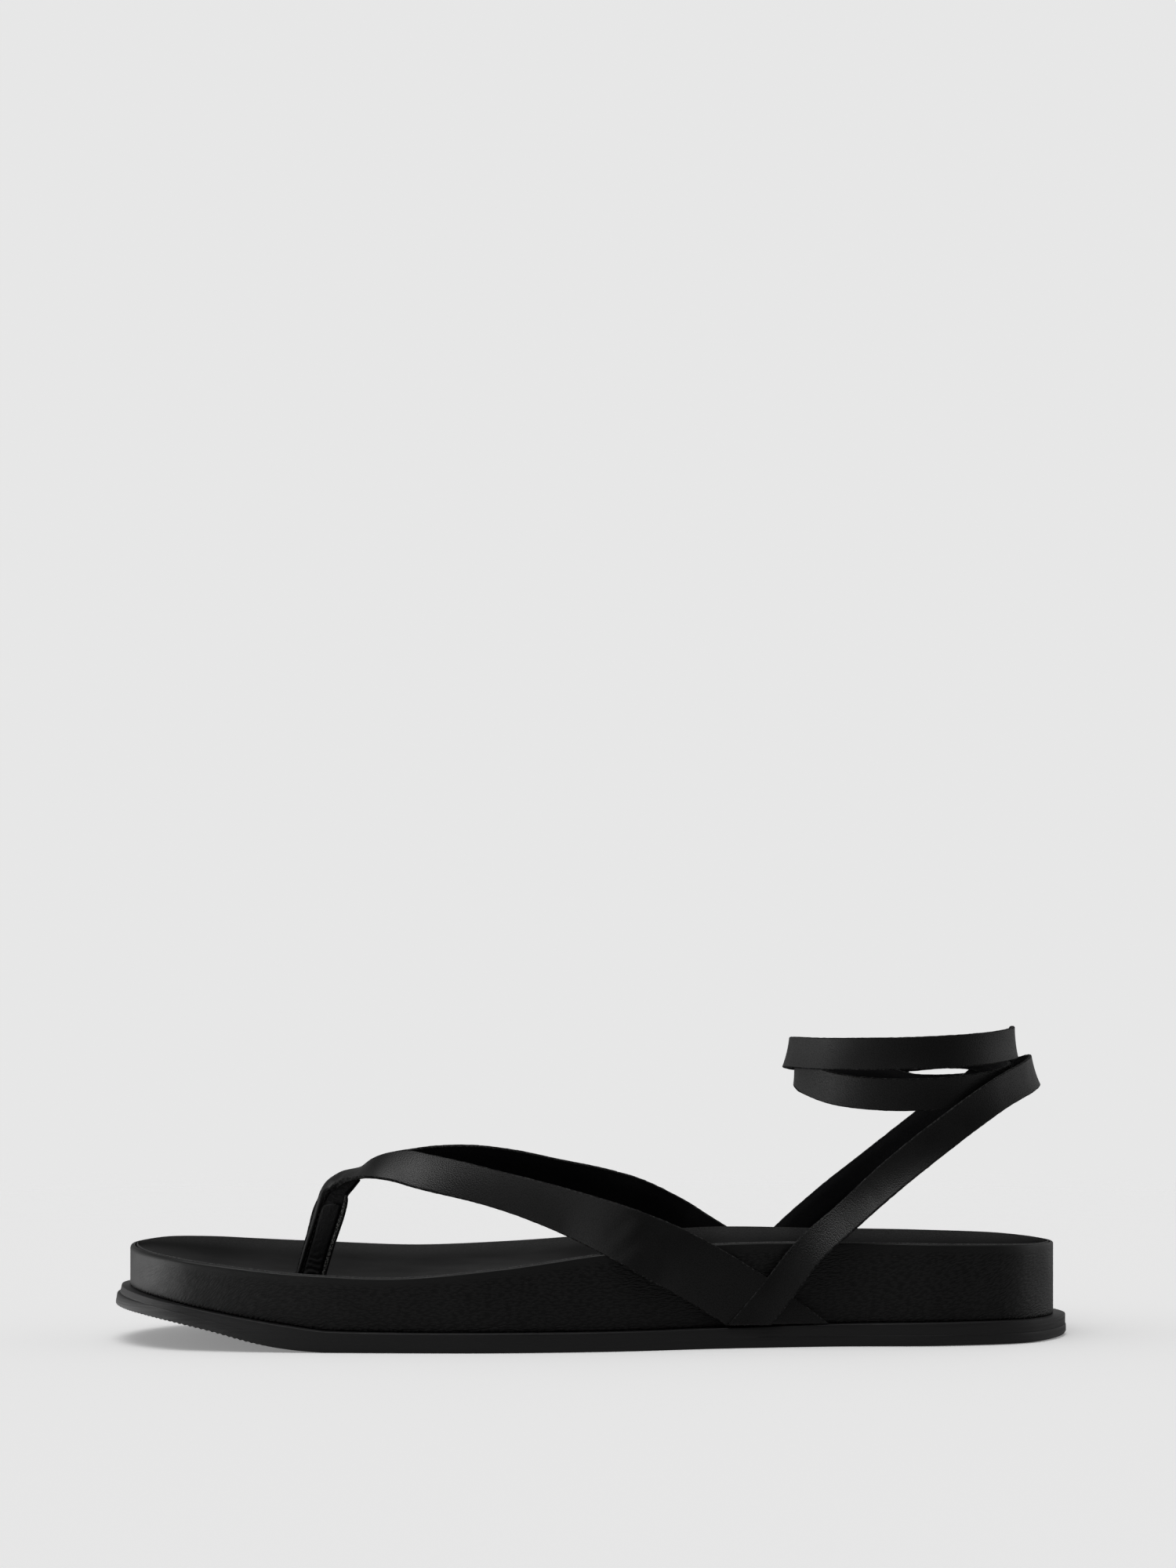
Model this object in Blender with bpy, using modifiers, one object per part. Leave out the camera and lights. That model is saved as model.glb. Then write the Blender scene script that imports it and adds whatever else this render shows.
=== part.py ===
"""Platform thong sandal with a double-wound ankle strap, right shoe, about size EU 39.

X runs along the shoe with the toe at -X, Y across it with the medial side at -Y, and Z up from the floor.
Sizes are in millimetres and are turned into metres where a mesh or a place is made.
"""

import math
from collections import namedtuple

import bmesh
import bpy
import numpy as np
from mathutils import Matrix, Vector

MM = 0.001
GAP = 0.3

# Sole: one row for each section from the toe tip to the heel end.
# bottom and tread are the outsole's underside height and thickness, medial and lateral its outline, ledge
# how far it stands out past the footbed, rim_medial and rim_lateral the footbed's edge heights, and cup how
# far the footbed sinks between them.
SoleSection = namedtuple("SoleSection", "x bottom tread ledge medial lateral rim_medial rim_lateral cup")
SOLE = [
    SoleSection(-130.4, 10.0, 5.1, 4.0, -10.5, -10.5, 26.0, 26.0, 0.0),
    SoleSection(-123.5, 9.3, 4.9, 3.5, -31.5, 12.5, 25.2, 25.9, 1.2),
    SoleSection(-110.0, 7.3, 4.8, 3.0, -42.5, 25.0, 22.9, 25.0, 3.0),
    SoleSection(-100.0, 5.1, 5.1, 2.8, -44.6, 31.5, 21.9, 24.0, 3.4),
    SoleSection(-90.0, 2.5, 5.9, 2.8, -45.7, 36.8, 21.1, 23.1, 3.6),
    SoleSection(-80.0, 0.8, 6.0, 2.8, -46.4, 40.8, 20.3, 22.4, 3.6),
    SoleSection(-70.0, 0.0, 5.5, 2.8, -47.0, 43.8, 19.7, 21.7, 3.6),
    SoleSection(-55.0, 0.0, 5.2, 2.8, -47.7, 46.4, 19.2, 21.0, 3.6),
    SoleSection(-25.0, 0.0, 5.1, 2.8, -48.0, 48.0, 21.6, 21.9, 4.0),
    SoleSection(5.0, 0.0, 5.1, 2.8, -44.5, 46.0, 25.5, 24.2, 5.0),
    SoleSection(35.0, 0.0, 5.4, 2.8, -37.2, 41.6, 27.4, 26.5, 5.4),
    SoleSection(65.0, 0.0, 5.9, 2.8, -32.6, 38.0, 27.4, 26.4, 5.4),
    SoleSection(95.0, 0.0, 6.2, 2.8, -31.8, 35.4, 26.8, 26.1, 5.0),
    SoleSection(117.8, 0.0, 6.2, 3.0, -24.0, 27.5, 26.2, 25.8, 3.0),
    SoleSection(130.4, 0.0, 5.8, 3.5, 1.5, 1.5, 25.6, 25.6, 0.0),
]
OUTLINE_POINTS = 80
OUTLINE_FINE = 600
ACROSS = 6
CUP_POWER = 2.4

# Outsole edge: a tread layer at the floor and a band set back above it, leaning in more at the toe.
TREAD_LAYER = 3.0
TREAD_BEVEL = 0.6
HEEL_CHAMFER = (1.6, 1.1)
HEEL_CHAMFER_START = 70.0
BAND_STEP = 0.5
BAND_ROUND = 0.6
TOE_FLARE = 1.0
TOE_FLARE_START = -85.0

# Footbed edge: the wrap turns over the rim with a small round, a little tighter at the heel.
RIM_ROUND_SIDE = 2.4
RIM_ROUND_TOE = 2.4
RIM_ROUND_HEEL = 2.2
RIM_ROUND_STEPS = 3
RIM_ROUND_CHANGE = 0.55
WRAP_TUCK = 0.6
INSOLE_THICK = 1.1
INSOLE_PROUD = 0.2

# Leather straps: the long edges are eased, and a strap has a section every few millimetres.
EASED_EDGE = 0.35
EASED_ANGLE = 60.0
SMOOTH_ANGLE = 35.0
THONG_SPACING = 5.0
ANKLE_SPACING = 4.5

# Thong: one row for each section along a strap's middle line, from the foot of the toe post to the ledge.
# lean is how far the strap's upper edge tips in over the foot, in degrees.
THONG_THICK = 1.8
POST_WIDTH = 8.2
StrapSection = namedtuple("StrapSection", "x y z width lean")
THONG_MEDIAL = [
    StrapSection(-79.3, -13.3, 10.0, POST_WIDTH, 0.0),
    StrapSection(-74.7, -13.3, 26.0, POST_WIDTH, 0.0),
    StrapSection(-71.2, -13.3, 37.0, POST_WIDTH, 0.0),
    StrapSection(-68.4, -14.6, 40.8, 8.4, 40.0),
    StrapSection(-63.6, -16.6, 44.2, 8.8, 76.0),
    StrapSection(-58.0, -17.0, 46.5, 10.0, 54.0),
    StrapSection(-52.0, -17.8, 46.7, 10.3, 38.0),
    StrapSection(-46.0, -19.5, 45.5, 10.4, 32.0),
    StrapSection(-29.0, -25.5, 42.0, 11.4, 34.0),
    StrapSection(-8.0, -33.0, 36.1, 13.9, 35.0),
    StrapSection(10.0, -40.2, 29.4, 16.0, 27.0),
    StrapSection(17.5, -40.4, 25.6, 16.6, 12.0),
]
THONG_LATERAL = [
    StrapSection(-79.3, -11.7, 10.0, POST_WIDTH, 0.0),
    StrapSection(-74.7, -11.7, 26.0, POST_WIDTH, 0.0),
    StrapSection(-71.2, -11.7, 37.0, POST_WIDTH, 0.0),
    StrapSection(-68.4, -10.4, 40.8, 8.4, 40.0),
    StrapSection(-63.6, -8.4, 44.2, 8.8, 76.0),
    StrapSection(-58.0, -7.6, 46.5, 10.0, 54.0),
    StrapSection(-50.0, -3.1, 46.8, 11.0, 38.0),
    StrapSection(-36.3, 4.3, 46.9, 12.0, 38.0),
    StrapSection(-23.5, 12.0, 44.6, 13.0, 38.0),
    StrapSection(-12.2, 18.7, 41.4, 14.0, 38.0),
    StrapSection(3.0, 31.4, 36.7, 15.0, 34.0),
    StrapSection(13.5, 40.7, 31.9, 16.0, 25.5),
    StrapSection(24.6, 43.4, 25.4, 17.0, 13.0),
]
# On the wall of the midsole a strap's depth follows from the wall, so these rows hold only x, z and width.
WallSection = namedtuple("WallSection", "x z width")
THONG_MEDIAL_WALL = [
    WallSection(25.0, 21.8, 16.8),
    WallSection(41.0, 12.6, 18.0),
    WallSection(66.0, -5.0, 17.5),
]
THONG_LATERAL_WALL = [
    WallSection(34.5, 18.8, 17.4),
    WallSection(45.0, 11.6, 17.2),
    WallSection(72.0, -6.5, 17.0),
]
STRAP_END_Z = 6.2
WALL_GAP = 0.8
JOIN_DEPTH = 0.7
TRIM_X = (5.0, 85.0)
TRIM_DEPTH = 20.0
TRIM_ACROSS = 130.0

# Ankle straps: up the wall over the thong's ends, across to the heel, then round the ankle.
# The ankle is an oval; angle 0 is the back, 90 the lateral side, 180 the front and 270 the medial side.
# spread is how far a turn stands outside the oval, and lean how far its upper edge tips in, in degrees.
ANKLE_WIDTH = 8.7
ANKLE_THICK = 1.5
ANKLE_CENTRE = (87.0, 1.0)
ANKLE_HALF_LENGTH = 32.0
ANKLE_HALF_WIDTH = 26.5
FreeSection = namedtuple("FreeSection", "x y z")
TurnSection = namedtuple("TurnSection", "angle spread z lean")
LONG_WALL = [
    WallSection(32.0, -4.0, ANKLE_WIDTH),
    WallSection(49.0, 15.6, ANKLE_WIDTH),
    WallSection(57.0, 25.6, ANKLE_WIDTH),
]
LONG_RISE = [FreeSection(67.0, -32.2, 34.3), FreeSection(78.6, -30.6, 44.6)]
LONG_TURNS = [
    TurnSection(-79, 3.0, 56.5, 4),
    TurnSection(-50, 2.6, 67.0, 10),
    TurnSection(-25, 2.6, 71.3, 15),
    TurnSection(0, 2.3, 72.8, 17),
    TurnSection(25, 2.8, 72.2, 13),
    TurnSection(45, 2.8, 70.4, 8),
    TurnSection(70, 2.3, 67.9, 4),
    TurnSection(85, 0.9, 67.0, 0),
    TurnSection(100, -0.6, 66.2, 0),
    TurnSection(128, -1.8, 65.6, 0),
    TurnSection(155, -1.4, 69.2, 0),
    TurnSection(180, -0.8, 72.8, 0),
    TurnSection(205, -0.6, 70.4, 0),
    TurnSection(225, -0.3, 68.2, 0),
    TurnSection(250, 0.1, 66.8, 0),
    TurnSection(270, 0.2, 66.7, 0),
    TurnSection(315, -1.4, 68.8, 4),
    TurnSection(345, -3.8, 70.6, 6),
    TurnSection(360, -4.8, 71.2, 6),
    TurnSection(385, -3.6, 74.0, 4),
    TurnSection(402, -2.6, 76.2, 2),
    TurnSection(428, 0.4, 77.0, 0),
    TurnSection(443, 1.1, 76.2, 0),
    TurnSection(455, 2.9, 75.8, 0),
    TurnSection(466, 5.0, 75.8, 0),
    TurnSection(480, 4.5, 75.8, 0),
    TurnSection(500, 4.0, 75.8, 0),
]
SHORT_WALL = [
    WallSection(30.6, -4.0, ANKLE_WIDTH),
    WallSection(47.1, 14.5, ANKLE_WIDTH),
    WallSection(54.6, 22.8, ANKLE_WIDTH),
]
SHORT_RISE = [FreeSection(66.6, 36.4, 34.0), FreeSection(80.6, 32.2, 45.6)]
SHORT_TURNS = [
    TurnSection(77, 0.3, 57.0, 0),
    TurnSection(50, -0.4, 68.0, 2),
    TurnSection(25, -1.0, 76.0, 4),
    TurnSection(0, -3.5, 80.4, 7),
    TurnSection(-25, -1.8, 80.2, 6),
    TurnSection(-55, 0.2, 79.0, 4),
    TurnSection(-90, 1.2, 77.9, 3),
    TurnSection(-135, 1.1, 77.5, 8),
    TurnSection(-180, 1.25, 77.6, 14),
    TurnSection(-205, 1.4, 76.8, 6),
    TurnSection(-222, 1.4, 75.9, 1),
    TurnSection(-242, 1.3, 75.8, 0),
    TurnSection(-254, 1.3, 75.8, 0),
]

# Buckle: a wire frame whose bar lies in a sleeve at the short strap's end, a prong, and a keeper loop.
BUCKLE_Z = 75.8
BAR_ANGLE = 106.0
BAR_SPREAD = 1.6
FAR_BAR_ANGLE = 85.5
FAR_BAR_SPREAD = 3.3
FRAME_WIRE = 1.3
FRAME_HEIGHT = 10.8
FRAME_CORNER = 1.2
FRAME_CORNER_STEPS = 4
SLEEVE_RADIUS = 2.0
SLEEVE_NOTCH = 3.0
CUT_MARGIN = 0.6
PRONG_WIRE = 1.1
PRONG_EYE = 1.65
PRONG_EYE_START = 330.0
PRONG_EYE_SWEEP = 240.0
PRONG_EYE_STEPS = 8
PRONG_PAST_BAR = 1.2
PRONG_HOLE = (-1.0, 9.0)
KEEPER_ANGLE = 128.0
KEEPER_SPREAD = 2.8
KEEPER_OPENING = (6.0, 9.5)
KEEPER_THICK = 0.9
KEEPER_LENGTH = 5.0


def smooth(knots, values, at):
    """A cubic curve through values at the increasing knots, read at the places in at."""
    knots = np.asarray(knots, float)
    values = np.asarray(values, float)
    at = np.asarray(at, float)
    slopes = np.gradient(values, knots, axis=0)
    piece = np.clip(np.searchsorted(knots, at) - 1, 0, len(knots) - 2)
    span = knots[piece + 1] - knots[piece]
    t = (at - knots[piece]) / span
    if values.ndim > 1:
        span = span[..., None]
        t = t[..., None]
    start = values[piece] * (2 * t**3 - 3 * t**2 + 1) + slopes[piece] * span * (t**3 - 2 * t**2 + t)
    end = values[piece + 1] * (3 * t**2 - 2 * t**3) + slopes[piece + 1] * span * (t**3 - t**2)
    return start + end


def travelled(points):
    """Distance along a line of points, up to each of them."""
    steps = np.linalg.norm(np.diff(points, axis=0), axis=1)
    return np.concatenate([[0.0], np.cumsum(steps)])


def sole_value(column, x):
    """A column of the sole's table at any x."""
    stations = [row.x for row in SOLE]
    values = [getattr(row, column) for row in SOLE]
    return smooth(stations, values, np.clip(x, stations[0], stations[-1]))


def sole_outline():
    """The outsole's outline from the toe tip, down the medial side and back up the lateral side."""
    medial = [(row.x, row.medial) for row in SOLE]
    lateral = [(row.x, row.lateral) for row in SOLE[-2:0:-1]]
    corners = np.array(medial + lateral)
    overlap = 3
    closed = np.vstack([corners[-overlap:], corners, corners[:overlap]])
    along = travelled(closed)
    halves = [(overlap, overlap + len(medial) - 1), (overlap + len(medial) - 1, overlap + len(corners))]
    points = []
    for first, last in halves:
        fine = smooth(along, closed, np.linspace(along[first], along[last], OUTLINE_FINE))
        run = travelled(fine)
        even = np.linspace(0.0, run[-1], OUTLINE_POINTS // 2 + 1)[:-1]
        points.append(np.column_stack([np.interp(even, run, fine[:, axis]) for axis in (0, 1)]))
    return np.vstack(points)


OUTLINE = sole_outline()
AHEAD = np.roll(OUTLINE, -1, axis=0) - np.roll(OUTLINE, 1, axis=0)
AHEAD /= np.linalg.norm(AHEAD, axis=1)[:, None]
INWARD = np.column_stack([-AHEAD[:, 1], AHEAD[:, 0]])
IS_MEDIAL = np.arange(OUTLINE_POINTS) < OUTLINE_POINTS // 2


def inset(distance):
    """The outline moved inwards."""
    return OUTLINE + INWARD * np.reshape(distance, (-1, 1))


def at_height(ring, height):
    """Points of a flat ring with their heights."""
    return np.column_stack([ring, height * np.ones(len(ring))])


def underside(x):
    return np.maximum(sole_value("bottom", x), 0.0)


def ledge_height(x):
    return underside(x) + sole_value("tread", x)


def rim_height(x):
    """Height of the footbed's edge round the outline, medial first and then lateral."""
    return np.where(IS_MEDIAL, sole_value("rim_medial", x), sole_value("rim_lateral", x))


def cup_depth(x):
    return sole_value("cup", x)


def no_depth(x):
    return 0.0


def wall_depth(x, side):
    """Where the midsole's wall stands at x: side is -1 for medial and 1 for lateral."""
    wall = inset(sole_value("ledge", OUTLINE[:, 0]))
    half = OUTLINE_POINTS // 2
    run = wall[:half + 1] if side < 0 else wall[[0] + list(range(OUTLINE_POINTS - 1, half - 1, -1))]
    return float(np.interp(x, run[:, 0], run[:, 1]))


def capped_loft(name, rings, low_dip, high_dip):
    """A closed solid through rings of the sole, with its ends filled from side to side and sunk by a dip."""
    mesh = bmesh.new()
    half = OUTLINE_POINTS // 2
    corners = [[mesh.verts.new(Vector(point) * MM) for point in ring] for ring in rings]
    for lower, upper in zip(corners, corners[1:]):
        for here in range(OUTLINE_POINTS):
            there = (here + 1) % OUTLINE_POINTS
            mesh.faces.new([lower[here], lower[there], upper[there], upper[here]])
    for ring, edge, dip in ((rings[0], corners[0], low_dip), (rings[-1], corners[-1], high_dip)):
        rows = [[edge[0]]]
        for station in range(1, half):
            start = ring[station]
            end = ring[OUTLINE_POINTS - station]
            row = [edge[station]]
            for step in range(1, ACROSS):
                share = step / ACROSS
                point = start + (end - start) * share
                point[2] -= dip(point[0]) * (1 - abs(2 * share - 1) ** CUP_POWER)
                row.append(mesh.verts.new(Vector(point) * MM))
            rows.append(row + [edge[OUTLINE_POINTS - station]])
        rows.append([edge[half]])
        for row, following in zip(rows, rows[1:]):
            if len(row) == 1 or len(following) == 1:
                tip = row[0] if len(row) == 1 else following[0]
                many = following if len(row) == 1 else row
                for first, second in zip(many, many[1:]):
                    mesh.faces.new([tip, first, second])
                continue
            for step in range(ACROSS):
                mesh.faces.new([row[step], row[step + 1], following[step + 1], following[step]])
    bmesh.ops.recalc_face_normals(mesh, faces=mesh.faces)
    return new_object(name, mesh)


def new_object(name, mesh):
    data = bpy.data.meshes.new(name)
    mesh.to_mesh(data)
    mesh.free()
    return bpy.data.objects.new(name, data)


def keep(obj, material):
    """Puts a finished piece in the sandal's collection with its material."""
    obj.data.materials.append(material)
    if obj.type == "MESH":
        obj.data.shade_smooth()
        obj.data.set_sharp_from_angle(angle=math.radians(SMOOTH_ANGLE))
    sandal.objects.link(obj)
    return obj


def helper(obj):
    """Puts a cutter, or a piece that is joined to another, in the helpers' collection."""
    obj.hide_render = True
    obj.display_type = "WIRE"
    helpers.objects.link(obj)
    return obj


def boolean(obj, other, operation):
    modifier = obj.modifiers.new(operation.lower() + "_" + other.name, "BOOLEAN")
    modifier.operation = operation
    modifier.solver = "EXACT"
    modifier.object = other


def block(name, size, matrix):
    mesh = bmesh.new()
    bmesh.ops.create_cube(mesh, size=1.0, matrix=Matrix.Diagonal((*(Vector(size) * MM), 1.0)))
    obj = new_object(name, mesh)
    obj.matrix_world = matrix
    return obj


def rod(name, radius, length, matrix, sides=20):
    mesh = bmesh.new()
    bmesh.ops.create_cone(mesh, cap_ends=True, segments=sides, radius1=radius * MM, radius2=radius * MM,
                          depth=length * MM)
    obj = new_object(name, mesh)
    obj.matrix_world = matrix
    return obj


def wire(name, points, thickness, closed):
    """A round wire along points."""
    curve = bpy.data.curves.new(name, "CURVE")
    curve.dimensions = "3D"
    curve.bevel_depth = thickness / 2 * MM
    curve.bevel_resolution = 2
    curve.use_fill_caps = not closed
    spline = curve.splines.new("POLY")
    spline.points.add(len(points) - 1)
    for place, point in zip(spline.points, points):
        place.co = (*(Vector(point) * MM), 1.0)
    spline.use_cyclic_u = closed
    return bpy.data.objects.new(name, curve)


def placed(origin, along, up=Vector((0, 0, 1))):
    """A matrix with its origin in millimetres, its X axis along a direction and its Z axis near up."""
    x_axis = Vector(along).normalized()
    y_axis = Vector(up).cross(x_axis).normalized()
    z_axis = x_axis.cross(y_axis)
    matrix = Matrix((x_axis, y_axis, z_axis)).transposed().to_4x4()
    matrix.translation = Vector(origin) * MM
    return matrix


def ankle_point(angle, spread, z):
    turn = math.radians(angle)
    x = ANKLE_CENTRE[0] + (ANKLE_HALF_LENGTH + spread) * math.cos(turn)
    y = ANKLE_CENTRE[1] + (ANKLE_HALF_WIDTH + spread) * math.sin(turn)
    return Vector((x, y, z))


def on_wall(rows, side, lift):
    """Strap sections lying on the midsole's wall, their middle line lifted off it."""
    return [StrapSection(row.x, wall_depth(row.x, side) + side * lift, row.z, row.width, 0.0) for row in rows]


def round_ankle(rise, turns):
    """Strap sections of an ankle strap once it has left the wall."""
    sections = [StrapSection(row.x, row.y, row.z, ANKLE_WIDTH, 0.0) for row in rise]
    for row in turns:
        sections.append(StrapSection(*ankle_point(row.angle, row.spread, row.z), ANKLE_WIDTH, row.lean))
    return sections


def strap(name, sections, thickness, spacing, side):
    """A leather strap: a ribbon through its sections, thickened, with its long edges eased."""
    table = np.array(sections, float)
    along = travelled(table[:, :3])
    count = max(2, round(along[-1] / spacing))
    rows = smooth(along, table, np.linspace(0.0, along[-1], count + 1))
    ahead = np.gradient(rows[:, :3], axis=0)
    mesh = bmesh.new()
    last = None
    for row, direction in zip(rows, ahead):
        centre = Vector(row[:3])
        tangent = Vector(direction).normalized()
        upright = (Vector((0, 0, 1)) - tangent * tangent.z).normalized()
        face = tangent.cross(upright)
        lean = math.radians(row[4])
        across = upright * math.cos(lean) + face * (side * math.sin(lean))
        edge = [mesh.verts.new((centre + across * (row[3] / 2 * end)) * MM) for end in (1, -1)]
        if last:
            mesh.faces.new([last[0], last[1], edge[1], edge[0]])
        last = edge
    obj = new_object(name, mesh)
    thicken = obj.modifiers.new("thickness", "SOLIDIFY")
    thicken.thickness = thickness * MM
    thicken.offset = 0.0
    ease = obj.modifiers.new("eased_edges", "BEVEL")
    ease.width = EASED_EDGE * MM
    ease.segments = 1
    ease.limit_method = "ANGLE"
    ease.angle_limit = math.radians(EASED_ANGLE)
    return obj


def finish(name, colour, roughness, metallic):
    material = bpy.data.materials.new(name)
    material.use_nodes = True
    shader = material.node_tree.nodes["Principled BSDF"]
    shader.inputs["Base Color"].default_value = (*colour, 1.0)
    shader.inputs["Roughness"].default_value = roughness
    shader.inputs["Metallic"].default_value = metallic
    return material


def build_outsole():
    x = OUTLINE[:, 0]
    low = underside(x)
    top = ledge_height(x)
    flare = TOE_FLARE * np.clip((TOE_FLARE_START - x) / (TOE_FLARE_START - SOLE[0].x), 0.0, 1.0)
    heel = np.clip((x - HEEL_CHAMFER_START) / (SOLE[-3].x - HEEL_CHAMFER_START), 0.0, 1.0)
    edges = [
        (TREAD_BEVEL + (HEEL_CHAMFER[0] - TREAD_BEVEL) * heel, low),
        (0.0, low + TREAD_BEVEL + (HEEL_CHAMFER[1] - TREAD_BEVEL) * heel),
        (0.0, low + TREAD_LAYER - BAND_STEP / 2),
        (BAND_STEP + flare / 2, low + TREAD_LAYER),
        (BAND_STEP + flare, top - BAND_ROUND),
        (BAND_STEP + BAND_ROUND + flare, top),
    ]
    rings = [at_height(inset(distance * np.ones(OUTLINE_POINTS)), height) for distance, height in edges]
    return keep(capped_loft("outsole", rings, no_depth, no_depth), rubber)


def rim_round():
    """The wrap's turn-over round, from the sides to the toe and heel ends."""
    x = OUTLINE[:, 0]
    share = np.clip((np.abs(x) / SOLE[-1].x - RIM_ROUND_CHANGE) / (1 - RIM_ROUND_CHANGE), 0.0, 1.0)
    return RIM_ROUND_SIDE + (np.where(x < 0, RIM_ROUND_TOE, RIM_ROUND_HEEL) - RIM_ROUND_SIDE) * share


def build_midsole():
    x = OUTLINE[:, 0]
    low = ledge_height(x) + GAP
    rim = rim_height(x)
    turn = rim_round()
    ledge = sole_value("ledge", x)
    edges = [(ledge + WRAP_TUCK, low), (ledge, low + WRAP_TUCK)]
    for step in range(RIM_ROUND_STEPS + 1):
        angle = math.radians(90 * step / RIM_ROUND_STEPS)
        edges.append((ledge + turn * (1 - math.cos(angle)), rim - turn * (1 - math.sin(angle))))
    seat = INSOLE_THICK + GAP - INSOLE_PROUD
    edges.append((ledge + turn + GAP, rim - seat))
    rings = [at_height(inset(distance), height) for distance, height in edges]
    midsole = capped_loft("midsole", rings, no_depth, cup_depth)
    boolean(midsole, post_slot, "DIFFERENCE")
    return keep(midsole, wrap_leather)


def build_insole():
    rim = rim_height(OUTLINE[:, 0])
    edge = sole_value("ledge", OUTLINE[:, 0]) + rim_round() + 2 * GAP
    top = rim + INSOLE_PROUD
    easing = INSOLE_THICK / 3
    edges = [(edge, top - INSOLE_THICK), (edge, top - easing), (edge + easing, top)]
    rings = [at_height(inset(distance), height) for distance, height in edges]
    insole = capped_loft("insole", rings, cup_depth, cup_depth)
    boolean(insole, post_slot, "DIFFERENCE")
    return keep(insole, sock_leather)


def build_post_slot():
    """The cutter for the toe post's slot, with a gap all round it."""
    foot = THONG_MEDIAL[0]
    knee = THONG_MEDIAL[1]
    middle_y = (foot.y + THONG_LATERAL[0].y) / 2
    thick = abs(foot.y - THONG_LATERAL[0].y) + THONG_THICK + 2 * GAP
    start = Vector((foot.x, middle_y, foot.z))
    rise = Vector((knee.x, middle_y, knee.z)) - start
    length = rise.length + GAP
    centre = start + rise.normalized() * (length / 2 - GAP)
    matrix = placed(centre, rise, up=Vector((-1, 0, 0)))
    return helper(block("post_slot", (length, thick, POST_WIDTH + 2 * GAP), matrix))


def build_upper():
    thong_lift = WALL_GAP + THONG_THICK / 2
    ankle_lift = WALL_GAP + THONG_THICK - JOIN_DEPTH + ANKLE_THICK / 2
    medial = THONG_MEDIAL + on_wall(THONG_MEDIAL_WALL, -1, thong_lift)
    lateral = THONG_LATERAL + on_wall(THONG_LATERAL_WALL, 1, thong_lift)
    long_ankle = on_wall(LONG_WALL, -1, ankle_lift) + round_ankle(LONG_RISE, LONG_TURNS)
    short_ankle = on_wall(SHORT_WALL, 1, ankle_lift) + round_ankle(SHORT_RISE, SHORT_TURNS)
    upper = strap("upper", medial, THONG_THICK, THONG_SPACING, -1)
    boolean(upper, helper(strap("thong_lateral", lateral, THONG_THICK, THONG_SPACING, 1)), "UNION")
    boolean(upper, helper(strap("ankle_long", long_ankle, ANKLE_THICK, ANKLE_SPACING, -1)), "UNION")
    boolean(upper, helper(strap("ankle_short", short_ankle, ANKLE_THICK, ANKLE_SPACING, 1)), "UNION")
    below = Matrix.Translation(Vector((sum(TRIM_X) / 2, 0.0, STRAP_END_Z - TRIM_DEPTH / 2)) * MM)
    trim_size = (TRIM_X[1] - TRIM_X[0], TRIM_ACROSS, TRIM_DEPTH)
    boolean(upper, helper(block("below_strap_ends", trim_size, below)), "DIFFERENCE")
    bar = bar_matrix()
    boolean(upper, helper(rod("sleeve", SLEEVE_RADIUS, ANKLE_WIDTH, bar)), "UNION")
    bore_length = ANKLE_WIDTH + 2 * CUT_MARGIN
    boolean(upper, helper(rod("sleeve_bore", FRAME_WIRE / 2 + GAP, bore_length, bar)), "DIFFERENCE")
    notch_size = (2 * SLEEVE_RADIUS + 2 * CUT_MARGIN, 2 * SLEEVE_RADIUS + CUT_MARGIN, SLEEVE_NOTCH)
    boolean(upper, helper(block("sleeve_notch", notch_size, bar)), "DIFFERENCE")
    hole_length = PRONG_HOLE[1] - PRONG_HOLE[0]
    hole = bar @ Matrix.Translation(Vector((sum(PRONG_HOLE) / 2, PRONG_EYE, 0)) * MM)
    hole = hole @ Matrix.Rotation(math.radians(90), 4, "Y")
    boolean(upper, helper(rod("prong_hole", PRONG_WIRE / 2 + GAP, hole_length, hole, 12)), "DIFFERENCE")
    return keep(upper, strap_leather)


def bar_ends():
    bar = ankle_point(BAR_ANGLE, BAR_SPREAD, BUCKLE_Z)
    far_bar = ankle_point(FAR_BAR_ANGLE, FAR_BAR_SPREAD, BUCKLE_Z)
    return bar, far_bar


def bar_matrix():
    """The buckle's own frame: origin on its bar, X towards its far bar, Y out from the ankle, Z up."""
    bar, far_bar = bar_ends()
    return placed(bar, far_bar - bar)


def build_buckle():
    bar, far_bar = bar_ends()
    length = (far_bar - bar).length
    half = FRAME_HEIGHT / 2
    corners = [(0.0, -half), (length, -half), (length, half), (0.0, half)]
    rounds = []
    for place, (x, z) in enumerate(corners):
        inward = Vector((1 if x == 0 else -1, 0, 1 if z < 0 else -1))
        centre = Vector((x, 0, z)) + inward * FRAME_CORNER
        for step in range(FRAME_CORNER_STEPS + 1):
            angle = math.radians(180 + 90 * (place + step / FRAME_CORNER_STEPS))
            rounds.append(centre + Vector((math.cos(angle), 0, math.sin(angle))) * FRAME_CORNER)
    frame = wire("buckle_frame", rounds, FRAME_WIRE, True)
    frame.matrix_world = bar_matrix()
    keep(frame, buckle_metal)
    eye = []
    for step in range(PRONG_EYE_STEPS + 1):
        angle = math.radians(PRONG_EYE_START - PRONG_EYE_SWEEP * step / PRONG_EYE_STEPS)
        eye.append((PRONG_EYE * math.cos(angle), PRONG_EYE * math.sin(angle), 0.0))
    rest = FRAME_WIRE / 2 + GAP + PRONG_WIRE / 2
    points = eye + [(length / 2, (PRONG_EYE + rest) / 2, 0.0), (length + PRONG_PAST_BAR, rest, 0.0)]
    prong = wire("buckle_prong", points, PRONG_WIRE, False)
    prong.matrix_world = bar_matrix()
    keep(prong, buckle_metal)


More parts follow.
